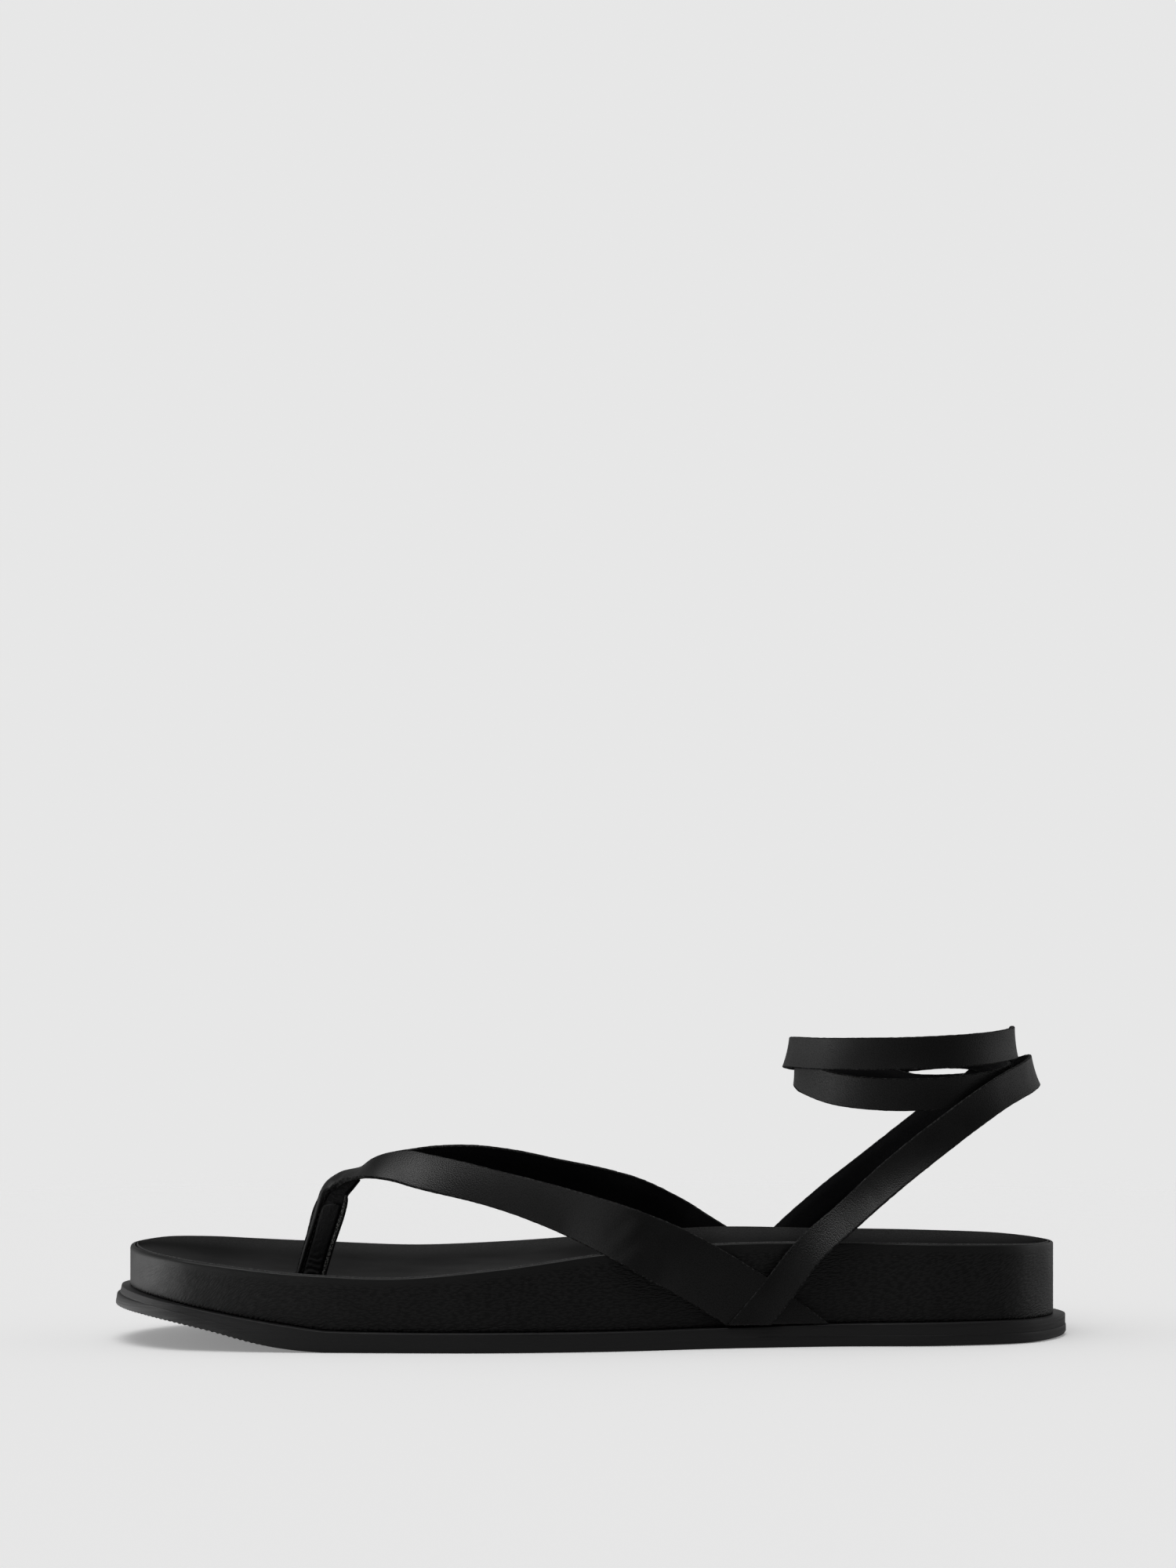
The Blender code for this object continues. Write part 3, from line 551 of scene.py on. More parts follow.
points = np.empty(len(midsole.data.vertices) * 3)
midsole.data.vertices.foreach_get("co", points)
along, aside, height = points.reshape(-1, 3).T / MM
stations = np.arange(CREASE_SLOPES[0].x, CREASE_SLOPES[-1].x + STATION_STEP, STATION_STEP)
slopes = np.interp(stations, [row.x for row in CREASE_SLOPES], [row.slope for row in CREASE_SLOPES])
rise = np.concatenate([[0.0], np.cumsum((slopes[1:] + slopes[:-1]) / 2 * STATION_STEP)])
drawn_height = (height - np.interp(along, stations, rise)) * MM
wall_place = np.empty(len(midsole.data.vertices))
midsole.data.attributes["wall_place"].data.foreach_get("value", wall_place)
middle_line = np.interp(along, (SOLE[0].x, SOLE[-1].x), (SOLE[0].medial, SOLE[-1].medial))
rim_above = np.where(aside < middle_line, sole_value("rim_medial", along), sole_value("rim_lateral", along))
below = np.interp(rim_above - height, SLACK_UNDER_RIM, (0.0, 1.0))
behind_toe = np.interp(along - SOLE[0].x, SLACK_FROM_TOE, (SLACK_AT_TOE, 1.0))
point_values(midsole, "slack", below * behind_toe)
creasing = midsole.data.attributes.new("crease_lines", "FLOAT_VECTOR", "POINT")
creasing.data.foreach_set("vector", np.column_stack([wall_place, drawn_height, drawn_height * 0]).ravel())

soft_cells = bpy.data.node_groups.new("soft_cells", "ShaderNodeTree")
for name in ("Place", "Size", "Shake"):
    soft_cells.interface.new_socket(name, in_out="INPUT", socket_type="NodeSocketVector")
for name in ("Shakes", "Randomness", "Smoothness"):
    soft_cells.interface.new_socket(name, in_out="INPUT", socket_type="NodeSocketFloat")
soft_cells.interface.new_socket("From Middle", in_out="OUTPUT", socket_type="NodeSocketFloat")
given = soft_cells.nodes.new("NodeGroupInput").outputs
waver = noise(soft_cells, given["Place"], given["Shakes"], 2.0, "Color")
shaking = {0: waver, 1: given["Shake"], 2: given["Place"]}
shaken = add_node(soft_cells, "ShaderNodeVectorMath", shaking, operation="MULTIPLY_ADD").outputs["Vector"]
sizing = {0: shaken, 1: given["Size"]}
sized = add_node(soft_cells, "ShaderNodeVectorMath", sizing, operation="MULTIPLY").outputs["Vector"]
cell = {"Vector": sized, "Scale": 1.0, "Randomness": given["Randomness"], "Smoothness": given["Smoothness"]}
cells = add_node(soft_cells, "ShaderNodeTexVoronoi", cell, feature="SMOOTH_F1", voronoi_dimensions="2D")
add_node(soft_cells, "NodeGroupOutput", {"From Middle": cells.outputs["Distance"]})

wrap, tree, shader = new_material("creased_wrap_leather", (0.005, 0.005, 0.005), 0.46, 0.44)
place = coordinates(tree, "Object")
lines = add_node(tree, "ShaderNodeAttribute", attribute_name="crease_lines").outputs["Vector"]
cells = add_node(tree, "ShaderNodeGroup", {"Place": lines, **CREASE_CELLS}, node_tree=soft_cells)
ripples = ramp_between(tree, cells.outputs["From Middle"], 0.75, 0.05)
slack = point_value(tree, "slack")
creases = calculate(tree, "MULTIPLY", ripples, slack)
# Painted shade in the crease hollows and painted highlight on the ridges, laid into the base colour.
valleys = ramp_between(tree, ripples, 1.0, 0.1)
painted_crease_shade = calculate(tree, "MULTIPLY", valleys, slack)
tree.links.new(ramp_between(tree, painted_crease_shade, 0.0, 1.0, WRAP_PAINTED_RIDGE_SHEEN, WRAP_PAINTED_CREASE_SHADE), shader.inputs["Base Color"])
pores = add_node(tree, "ShaderNodeTexVoronoi", {"Vector": place, "Scale": 3000.0}).outputs["Distance"]
patches = noise(tree, place, 90.0, 2.0)
tree.links.new(varied(tree, patches, *WRAP_ROUGH), shader.inputs["Roughness"])
pored = bump(tree, pores, 0.3, 0.05)
tree.links.new(bump(tree, creases, 0.75, 0.1, pored), shader.inputs["Normal"])
midsole.data.materials.append(wrap)
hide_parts("midsole")
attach(midsole, "root")

# Insole: a thin smooth leather sock, cut a little smaller than the rim and glued into the cup.
# Its cut edge shows as a thin paler line, and the toe post comes up through a slot.
# The sock's top is painted paler towards its edge all round, a painted sheen.
TOP_RINGS = (0.0, 0.03, 0.07, 0.12, 0.18, 0.25, 0.33, 0.42, 0.52, 0.63, 0.75, 0.88, 1.0)
SLOT_MIDDLE = (-77.2, -12.5, 18.0)
SLOT_SIZE = (8.2, 4.4, 10.0)
SLOT_TILT = 16.0
CUT_EDGE_MARK = 2.0
SOCK_MIDDLE, SOCK_PAINTED_SHEEN_EDGE, SOCK_CUT_EDGE = 0.003, 0.033, 0.07
SOCK_ROUGH = (0.46, 0.56)


def cut_out(piece, cutter):
    """Takes the cutter's form out of a piece and removes the cutter."""
    bpy.ops.object.select_all(action="DESELECT")
    bpy.context.view_layer.objects.active = piece
    hole = piece.modifiers.new("cut_out", "BOOLEAN")
    hole.operation = "DIFFERENCE"
    hole.solver = "EXACT"
    hole.object = cutter
    bpy.ops.object.modifier_apply(modifier=hole.name)
    bpy.data.objects.remove(cutter)


edge_in = ledge + turn + 2 * GAP
easing = INSOLE_THICK / 3
top = rim + INSOLE_PROUD
outer_edge = inset(outline, edge_in)
eased_edge = inset(outline, edge_in + easing)
rings = [cupped(outer_edge, top - INSOLE_THICK, share) for share in CUP_RINGS[::-1]]
rings.append(at_height(outer_edge, top - INSOLE_THICK))
under_rings = len(rings)
rings.append(at_height(outer_edge, top - easing))
rings.append(at_height(inset(outline, edge_in + easing * 0.3), top - easing * 0.3))
for share in TOP_RINGS:
    rings.append(cupped(eased_edge, top, share))
insole = stacked_rings("leather_sock", rings)
toward_edge = [0.0] * under_rings + [CUT_EDGE_MARK] * 2 + [1.0 - share for share in TOP_RINGS]
point_values(insole, "toward_edge", np.repeat(toward_edge, MIDSOLE_AROUND))
close_skin(insole, 40)

sock_leather, tree, shader = new_material("matt_sock_leather", (0.004, 0.004, 0.004), 0.62, 0.07)
place = coordinates(tree, "Object")
edge = point_value(tree, "toward_edge")
grain = noise(tree, place, 2400.0, 3.0)
clouds = noise(tree, place, 35.0, 3.0)
# Painted sheen: the top's colour rises from the middle towards the edge, standing in for light caught at a low
# angle.
wear_and_painted_sheen = ramp_between(tree, edge, 0.58, 1.0, SOCK_MIDDLE, SOCK_PAINTED_SHEEN_EDGE)
cut = ramp_between(tree, edge, 1.1, 1.6, 0.0, SOCK_CUT_EDGE)
shade = calculate(tree, "ADD", wear_and_painted_sheen, cut)
grey = calculate(tree, "MULTIPLY", shade, varied(tree, grain, 0.6, 1.4))
tree.links.new(grey, shader.inputs["Base Color"])
tree.links.new(varied(tree, clouds, *SOCK_ROUGH), shader.inputs["Roughness"])
tree.links.new(bump(tree, grain, 0.4, 0.1), shader.inputs["Normal"])
insole.data.materials.append(sock_leather)

slot_turn = (0.0, math.radians(SLOT_TILT), 0.0)
bpy.ops.mesh.primitive_cube_add(size=MM, location=Vector(SLOT_MIDDLE) * MM, rotation=slot_turn)
slot_cutter = bpy.context.object
slot_cutter.scale = SLOT_SIZE
cut_out(insole, slot_cutter)
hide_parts("insole")
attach(insole, "root")

# Thong: two leather straps that start as the toe post, part over the foot and come down over the wall.
# Each has a pebbled grain face, a dark lining and raw cut edges, and is rolled narrow down the post's front.
# The grain face's colour is painted darker between the pebbles and paler on them: painted shade and painted
# highlight.
THONG_THICK = 1.8
POST_WIDTH = 8.2
STRAP_END_Z = 6.2
WALL_GAP = 0.8
StrapSection = namedtuple("StrapSection", "x y z width lean")
WallSection = namedtuple("WallSection", "x z width lean", defaults=(0.0,))
THONG_MEDIAL = [
    StrapSection(-82.35, -13.5, 10.9, 1.8, 0.0),
    StrapSection(-77.75, -13.5, 26.9, 1.9, 0.0),
    StrapSection(-74.5, -13.5, 37.1, 2.2, 0.0),
    StrapSection(-72.9, -14.0, 40.9, 2.6, 25.0),
    StrapSection(-69.1, -15.2, 43.5, 5.0, 60.0),
    StrapSection(-63.6, -16.6, 44.9, 8.8, 74.0),
    StrapSection(-58.0, -17.0, 46.5, 10.0, 54.0),
    StrapSection(-52.0, -17.8, 46.7, 11.3, 45.0),
    StrapSection(-46.0, -19.5, 45.5, 11.0, 37.0),
    StrapSection(-29.0, -25.5, 42.0, 10.0, 20.0),
    StrapSection(-8.0, -33.0, 36.1, 11.8, 15.0),
    StrapSection(10.0, -41.3, 29.4, 14.9, 13.5),
    StrapSection(17.5, -40.4, 25.6, 16.4, 10.0),
]
THONG_LATERAL = [
    StrapSection(-82.35, -11.5, 10.9, 1.8, 0.0),
    StrapSection(-77.75, -11.5, 26.9, 1.9, 0.0),
    StrapSection(-74.5, -11.5, 37.1, 2.2, 0.0),
    StrapSection(-72.9, -11.0, 40.9, 2.6, 25.0),
    StrapSection(-69.1, -9.8, 43.5, 5.0, 60.0),
    StrapSection(-63.6, -8.4, 44.9, 8.8, 74.0),
    StrapSection(-58.0, -7.6, 46.5, 10.0, 54.0),
    StrapSection(-50.0, -3.1, 46.8, 11.0, 38.0),
    StrapSection(-36.3, 4.3, 46.9, 12.0, 38.0),
    StrapSection(-23.5, 12.0, 44.6, 13.0, 38.0),
    StrapSection(-12.2, 18.7, 41.4, 14.0, 38.0),
    StrapSection(3.0, 31.4, 36.7, 15.0, 34.0),
    StrapSection(13.5, 40.7, 31.9, 16.0, 25.5),
    StrapSection(24.6, 43.4, 25.4, 17.0, 13.0),
]
THONG_MEDIAL_WALL = [
    WallSection(25.0, 21.7, 16.4),
    WallSection(40.6, 12.0, 16.4),
    WallSection(65.3, -5.9, 15.2),
]
THONG_LATERAL_WALL = [
    WallSection(34.5, 18.8, 17.4),
    WallSection(45.0, 11.6, 17.2),
    WallSection(72.0, -6.5, 17.0),
]
THONG_CAMBER = 0.2
STRAP_STEP = 0.6
EDGE_THICK = 0.9
EDGE_ROUND = 0.3
EDGE_CORNER = (22.5, 45.0, 67.5, 90.0)
EDGE_FRAY = 0.02
FRAY_SEED = 11
SKIVED_PAST = 0.6
TIP_BLUNT = 0.02
FACE_COLUMNS = 40
LINING_COLUMNS = 12
POST_END_X = -69.5
SKIVED_FROM_X = -63.0
ROLL_WIDTH = 2.5
ROLL_DROP = 0.45
Crease = namedtuple("Crease", "place slant width depth share reach")
THONG_CREASES = [
    Crease(33.4, 0.2, 0.7, 0.08, -0.3, 0.8),
    Crease(37.2, 0.25, 0.9, 0.12, -0.4, 0.8),
    Crease(41.4, 0.1, 1.0, 0.1, -0.6, 0.6),
    Crease(118.0, 0.4, 1.8, 0.12, 0.2, 0.9),
    Crease(124.0, 0.45, 1.6, 0.1, -0.4, 0.7),
]
RIDGE_PAST_CREASE = 2.0
RIDGE_SHARE = 0.5
BendGrain = namedtuple("BendGrain", "past_bend pebbling")
BEND_GRAIN = [BendGrain(-2.0, 1.0), BendGrain(3.0, 0.15), BendGrain(10.0, 0.2), BendGrain(17.0, 1.0)]
THONG_POLISHED = (36.0, 46.0, 58.0, 80.0)
STRETCHED_GLOSS = -0.12
PEBBLE_CELLS = {
    "Size": (2700.0, 2700.0, 1.0),
    "Shake": (0.00025, 0.00025, 0.0),
    "Shakes": 1800.0,
    "Randomness": 0.9,
    "Smoothness": 0.3,
}
STRAP_PAINTED_VALLEY_SHADE, STRAP_PAINTED_TOP_SHEEN = 0.0004, 0.0085
VALLEY_ROUGH, TOP_ROUGH = 0.52, 0.38
LINING_COLOUR = (0.0026, 0.0026, 0.0034)
LINING_ROUGH = (0.78, 0.92)
CUT_EDGE_DARK, CUT_EDGE_PALE = (0.006, 0.006, 0.006), (0.07, 0.07, 0.07)
GRAIN_FACE, LINING_FACE, CUT_EDGE = range(3)


def wall_depth(at, side):
    """Where the footbed's wall stands at a place along the shoe: side is -1 for medial and 1 for lateral."""
    wall = inset(outline, ledge)
    half = MIDSOLE_AROUND // 2
    run = wall[:half + 1] if side < 0 else opposite(wall)[:half + 1]
    return float(np.interp(at, run[:, 0], run[:, 1]))


def on_wall(rows, side, lift):
    """Strap sections lying on the footbed's wall, their middle line lifted off it."""
    sections = []
    for row in rows:
        depth = wall_depth(row.x, side) + side * lift
        sections.append(StrapSection(row.x, depth, row.z, row.width, row.lean))
    return sections


def strap_profile(thickness):
    """A strap's section as a closed line from its upper edge round.

    A point has its place across, its edge round, its lift, its lift where the edge is skived, and its finish.
    """
    half = thickness / 2
    thinned = thickness - EDGE_THICK
    profile = []
    for share in np.linspace(1.0, -1.0, FACE_COLUMNS + 1):
        profile.append((share, 0.0, half, half, GRAIN_FACE))
    for end in (-1.0, 1.0):
        face_side = []
        lining_side = []
        for angle in np.radians(EDGE_CORNER):
            drop = EDGE_ROUND * (1 - math.cos(angle))
            stand = end * EDGE_ROUND * math.sin(angle)
            face_side.append((end, stand, half - drop, half - drop, CUT_EDGE))
            lining_side.append((end, stand, drop - half, drop - half + thinned, CUT_EDGE))
        if end < 0:
            profile += face_side + lining_side[::-1]
            for share in np.linspace(-1.0, 1.0, LINING_COLUMNS + 1):
                thin = thinned * max(abs(share) - SKIVED_PAST, 0.0) / (1 - SKIVED_PAST)
                profile.append((share, 0.0, -half, thin - half, LINING_FACE))
        else:
            profile += lining_side + face_side[::-1]
    return np.array(profile)


def rolled_skin(name, rings, first_column=0):
    """A grid rolled through rings of points; its UV map gives metres along it and round it from a column."""
    rings = np.concatenate([rings, rings[:, :1]], axis=1)
    rows, columns = rings.shape[:2]
    bpy.ops.mesh.primitive_grid_add(x_subdivisions=columns - 1, y_subdivisions=rows - 1)
    piece = bpy.context.object
    piece.name = name
    piece.data.name = name
    piece.data.vertices.foreach_set("co", (rings * MM).ravel())
    along = travelled(rings.mean(axis=1))[:, None] * np.ones(columns)
    steps = np.linalg.norm(np.diff(rings, axis=1), axis=2)
    around = np.concatenate([np.zeros((rows, 1)), np.cumsum(steps, axis=1)], axis=1)
    around -= around[:, first_column:first_column + 1]
    corners = np.empty(len(piece.data.loops), int)
    piece.data.loops.foreach_get("vertex_index", corners)
    laid_flat = np.column_stack([along.ravel(), around.ravel()]) * MM
    piece.data.uv_layers.active.data.foreach_set("uv", laid_flat[corners].ravel())
    return piece


def strap_frame(sections, side):
    """The strap's rows, its distance along them, and its directions across and outwards at each."""
    table = np.array(sections, float)
    along = travelled(table[:, :3])
    places = np.linspace(0.0, along[-1], round(along[-1] / STRAP_STEP) + 1)
    rows = smooth(along, table, places)
    ahead = np.gradient(rows[:, :3], axis=0)
    ahead /= np.linalg.norm(ahead, axis=1)[:, None]
    upright = np.array([0.0, 0.0, 1.0]) - ahead * ahead[:, 2:]
    upright /= np.linalg.norm(upright, axis=1)[:, None]
    face = np.cross(ahead, upright)
    lean = np.radians(rows[:, 4:])
    across = upright * np.cos(lean) + face * (side * np.sin(lean))
    out = np.cross(across, ahead) * side
    return rows, places, across, out


def leather_strap(name, sections, thickness, side, camber, polished, creases, has_post=False, round_tip=0.0):
    """A strap through its sections, with its finishes laid face by face, trimmed just above the ledge."""
    rows, places, across, out = strap_frame(sections, side)
    share, edge, lift, skived_lift, finish = strap_profile(thickness).T
    width = rows[:, 3].copy()
    if round_tip:
        left = np.clip((places[-1] - places) / round_tip, 0.0, 1.0)
        width *= np.sqrt(np.maximum(1 - (1 - left) ** 2, TIP_BLUNT))
    dice = np.random.default_rng(FRAY_SEED)
    fray = dice.normal(0.0, EDGE_FRAY, (len(rows), len(share)))
    fray = (fray + np.roll(fray, 1, axis=0)) * (finish == CUT_EDGE)
    sideways = share * (width[:, None] / 2 - EDGE_ROUND) + edge + fray
    skived = np.ones((len(rows), 1))
    pebbling = np.ones((len(rows), 1))
    if has_post:
        skived = np.clip((rows[:, :1] - POST_END_X) / (SKIVED_FROM_X - POST_END_X), 0.0, 1.0)
        bend = np.interp(POST_END_X, rows[:, 0], places)
        stations = [bend + row.past_bend for row in BEND_GRAIN]
        pebbling = np.interp(places, stations, [row.pebbling for row in BEND_GRAIN])[:, None]
    outward = lift + (skived_lift - lift) * skived + camber * (1 - share**2)
    if has_post:
        rolled = np.clip(2 - rows[:, 3:4] / ROLL_WIDTH, 0.0, 1.0)
        outward -= ROLL_DROP * share**2 * (finish != LINING_FACE) * rolled
    for crease in creases:
        from_line = (places[:, None] - crease.place - crease.slant * sideways) / crease.width
        ridge = RIDGE_SHARE * np.exp(-((from_line - RIDGE_PAST_CREASE) ** 2))
        trough = np.exp(-(from_line**2)) - ridge
        outward -= crease.depth * trough * np.exp(-(((share - crease.share) / crease.reach) ** 2))
    rings = rows[:, None, :3] + across[:, None] * sideways[..., None] + out[:, None] * outward[..., None]
    strap = rolled_skin(name, rings, FACE_COLUMNS // 2)
    row, first = np.divmod(np.arange((len(rows) - 1) * len(share)), len(share))
    second = (first + 1) % len(share)
    chosen = np.where(finish[first] == finish[second], finish[first], CUT_EDGE).astype(int)
    strap.data.polygons.foreach_set("material_index", chosen)
    point_values(strap, "pebbling", (pebbling * np.ones((len(rows), len(share) + 1))).ravel())
    gloss = np.interp(places, polished, (0.0, 1.0, 1.0, 0.0))
    point_values(strap, "polish", np.repeat(gloss, len(share) + 1))
    close_skin(strap, 40)
    bpy.ops.object.mode_set(mode="EDIT")
    bpy.ops.mesh.select_all(action="SELECT")
    above_ledge = (0, 0, STRAP_END_Z * MM)
    bpy.ops.mesh.bisect(plane_co=above_ledge, plane_no=(0, 0, 1), use_fill=True, clear_inner=True)
    bpy.ops.object.mode_set(mode="OBJECT")
    for finish_of_part in (grain_leather, lining, cut_edge):
        strap.data.materials.append(finish_of_part)
    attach(strap, "root")
    return strap


def two_tone(tree, pattern, dark_at, dark, pale_at, pale):
    """A pattern's low values in a dark colour, running into a pale one at its high values."""
    ramp = add_node(tree, "ShaderNodeValToRGB", {"Fac": pattern})
    low, high = ramp.color_ramp.elements
    low.position = dark_at
    low.color = (*dark, 1.0)
    high.position = pale_at
    high.color = (*pale, 1.0)
    return ramp.outputs["Color"]


grain_leather, tree, shader = new_material("pebbled_strap_leather", (0.004, 0.004, 0.004), 0.42, 0.47)
laid_flat = coordinates(tree, "UV")
pebbles = add_node(tree, "ShaderNodeGroup", {"Place": laid_flat, **PEBBLE_CELLS}, node_tree=soft_cells)
height = ramp_between(tree, pebbles.outputs["From Middle"], 0.8, 0.05)
tops = ramp_between(tree, pebbles.outputs["From Middle"], 0.75, 0.4)
raised = calculate(tree, "MULTIPLY", height, point_value(tree, "pebbling"))
wear_and_painted_sheen = ramp_between(tree, noise(tree, laid_flat, 120.0, 3.0), 0.35, 0.7, 0.02, -0.03)
grained = ramp_between(tree, tops, 0.0, 1.0, VALLEY_ROUGH, TOP_ROUGH)
worn_grain = calculate(tree, "ADD", grained, wear_and_painted_sheen)
rough = calculate(tree, "MULTIPLY_ADD", point_value(tree, "polish"), STRETCHED_GLOSS, worn_grain)
tree.links.new(rough, shader.inputs["Roughness"])
# Painted shade in the pebbles' valleys and painted highlight on their tops, laid into the base colour.
tree.links.new(ramp_between(tree, height, 0.1, 0.9, STRAP_PAINTED_VALLEY_SHADE, STRAP_PAINTED_TOP_SHEEN), shader.inputs["Base Color"])
tree.links.new(bump(tree, raised, 0.5, 0.06), shader.inputs["Normal"])

lining, tree, shader = new_material("dark_strap_lining", LINING_COLOUR, 0.7, 0.25)
laid_flat = coordinates(tree, "UV")
nap = noise(tree, laid_flat, 2200.0, 4.0)
patches = noise(tree, laid_flat, 60.0, 3.0)
tree.links.new(varied(tree, patches, *LINING_ROUGH), shader.inputs["Roughness"])
tree.links.new(bump(tree, nap, 0.6, 0.2), shader.inputs["Normal"])

cut_edge, tree, shader = new_material("raw_cut_edge", (0.02, 0.02, 0.02), 0.8, 0.3)
place = coordinates(tree, "Object")
fibres = noise(tree, place, 1500.0, 4.0)
tree.links.new(two_tone(tree, fibres, 0.45, CUT_EDGE_DARK, 0.75, CUT_EDGE_PALE), shader.inputs["Base Color"])
tree.links.new(bump(tree, fibres, 0.6, 0.2), shader.inputs["Normal"])

thong_lift = WALL_GAP + THONG_THICK / 2
medial_sections = THONG_MEDIAL + on_wall(THONG_MEDIAL_WALL, -1, thong_lift)
lateral_sections = THONG_LATERAL + on_wall(THONG_LATERAL_WALL, 1, thong_lift)
thong_medial = leather_strap("thong_medial", medial_sections, THONG_THICK, -1, THONG_CAMBER, THONG_POLISHED,
                             THONG_CREASES, has_post=True)
leather_strap("thong_lateral", lateral_sections, THONG_THICK, 1, THONG_CAMBER, THONG_POLISHED,
              THONG_CREASES, has_post=True)
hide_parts("upper")

# Toe post: a core of two leather layers between the straps' rolls, glued through the slot in the footbed.
# A padded panel is stitched to each side, and behind it the raw edge of the layers shows as a pale seam.
# The recessed groove and edges round each panel are given a darker leather, as painted shade.
POST_MIDDLE_Y = -12.5
POST_HALF_THICK = 1.8
POST_ROUND = 0.25
POST_PANEL_TOP = 37.2
POST_RECESS = -0.6
POST_ROWS = 160
POST_COLUMNS = 60
POST_EDGE_TURNS = (45, 90, 135)
POST_EDGE_DRAWN_IN = 0.5
PostSection = namedtuple("PostSection", "x z width")
POST_CORE = [
    PostSection(-79.3, 10.0, POST_WIDTH),
    PostSection(-74.7, 26.0, POST_WIDTH),
    PostSection(-71.2, 37.0, POST_WIDTH),
    PostSection(-69.6, 40.2, 6.4),
    PostSection(-66.7, 42.4, 4.2),
    PostSection(-64.7, 44.0, 3.0),
]
PostRelief = namedtuple("PostRelief", "from_front lift")
POST_RELIEF = [
    PostRelief(0.0, -0.9),
    PostRelief(1.2, -0.9),
    PostRelief(1.3, -0.55),
    PostRelief(1.85, -0.55),
    PostRelief(2.1, 0.05),
    PostRelief(2.6, 0.22),
    PostRelief(4.4, 0.3),
    PostRelief(6.2, 0.2),
    PostRelief(6.6, 0.02),
    PostRelief(6.75, -0.4),
    PostRelief(6.95, -0.35),
    PostRelief(7.1, 0.05),
    PostRelief(7.5, 0.14),
    PostRelief(8.0, 0.05),
    PostRelief(8.1, -0.15),
    PostRelief(8.2, -0.25),
]
PANEL_FROM, PANEL_TO = 1.95, 6.7
PANEL_MIDDLE = 4.4
PANEL_TOP_CURVE = 0.12
PANEL_TOP_SOFT = 0.6
PANEL_SIDE_SOFT = 0.8
SEAM_FROM, SEAM_TO = 7.1, 7.95
SEAM_TOP = 39.0
WRINKLES_BELOW = 26.0
WRINKLES_FADE = 8.0
WRINKLES_ABOVE = 0.15
WRINKLE_DEPTH = 0.1
WRINKLE_PACE = 3.6
WRINKLE_SWAY = 1.4
WRINKLE_SWAY_ACROSS, WRINKLE_SWAY_UP = 1.1, 0.7
STITCH_PITCH = 1.5
STITCH_LENGTH = 1.0
STITCH_THICK = 0.26
STITCH_FROM_FRONT = 1.75
STITCH_SUNK = 0.36
FIRST_STITCH_Z, LAST_STITCH_Z = 18.0, 36.4
PANEL_ROUGH = (0.44, 0.6)
GROOVE_ROUGH = (0.65, 0.9)
SEAM_DARK, SEAM_PALE = (0.012, 0.012, 0.012), (0.22, 0.22, 0.21)
POST_PANEL, POST_GROOVE, POST_SEAM = range(3)


def joined(pieces, name):
    """Pieces made into one, with their places in its mesh."""
    bpy.ops.object.select_all(action="DESELECT")
    for piece in pieces:
        piece.select_set(True)
    bpy.context.view_layer.objects.active = pieces[0]
    bpy.ops.object.join()
    bpy.ops.object.transform_apply(location=True, rotation=True, scale=True)
    bpy.context.object.name = name
    return bpy.context.object


table = np.array(POST_CORE, float)
along = travelled(table[:, :2])
places = np.linspace(0.0, along[-1], POST_ROWS)
rows = smooth(along, table, places)
ahead = np.gradient(rows[:, :2], axis=0)
ahead /= np.linalg.norm(ahead, axis=1)[:, None]
frontward = np.column_stack([-ahead[:, 1], np.zeros(len(rows)), ahead[:, 0]])
shares = np.linspace(1.0, -1.0, POST_COLUMNS)
from_front = (1 - shares) / 2 * POST_WIDTH
relief = np.interp(from_front, [row.from_front for row in POST_RELIEF], [row.lift for row in POST_RELIEF])
on_panel = (from_front > PANEL_FROM) & (from_front < PANEL_TO)
panel_top = POST_PANEL_TOP - PANEL_TOP_CURVE * (from_front - PANEL_MIDDLE) ** 2
sideways = shares * (rows[:, 2:3] / 2 - POST_ROUND)
heights = rows[:, 1:2] + frontward[:, 2:] * sideways
raised = np.clip((panel_top - heights) / PANEL_TOP_SOFT, 0.0, 1.0)
lift = np.where(on_panel, POST_RECESS + (relief - POST_RECESS) * raised, relief)
sway = WRINKLE_SWAY * np.sin(from_front * WRINKLE_SWAY_ACROSS + heights * WRINKLE_SWAY_UP)
wrinkles = np.sin(heights * WRINKLE_PACE + sway)
from_side = np.minimum(from_front - PANEL_FROM, PANEL_TO - from_front)
soft_panel = np.clip(from_side / PANEL_SIDE_SOFT, 0.0, 1.0)
low_down = np.clip((WRINKLES_BELOW - heights) / WRINKLES_FADE, WRINKLES_ABOVE, 1.0)
lift = lift + WRINKLE_DEPTH * wrinkles * soft_panel * low_down
middle = np.column_stack([rows[:, 0], np.full(len(rows), POST_MIDDLE_Y), rows[:, 1]])
outwards = np.array((0.0, 1.0, 0.0))
faces = []
for side in (-1, 1):
    depth = side * (POST_HALF_THICK + lift)
    faces.append(middle[:, None] + frontward[:, None] * sideways[..., None] + outwards * depth[..., None])
rear = []
front = []
for turned in np.radians(POST_EDGE_TURNS):
    reach = rows[:, 2:3] / 2 - POST_ROUND + POST_ROUND * math.sin(turned)
    depth = -math.cos(turned) * (POST_HALF_THICK - POST_EDGE_DRAWN_IN)
    rear.append(middle - frontward * reach + outwards * depth)
    front.append(middle + frontward * reach + outwards * -depth)
rings = np.concatenate([faces[0], np.stack(rear, axis=1), faces[1][:, ::-1], np.stack(front, axis=1)], axis=1)
post = rolled_skin("toe_post_core", rings)
columns = rings.shape[1]
row, column = np.divmod(np.arange((len(rows) - 1) * columns), columns)
across = np.concatenate([from_front, [POST_WIDTH] * len(rear), from_front[::-1], [0.0] * len(front)])[column]
chosen = np.full(len(row), POST_GROOVE)
height = rings[row, column, 2]
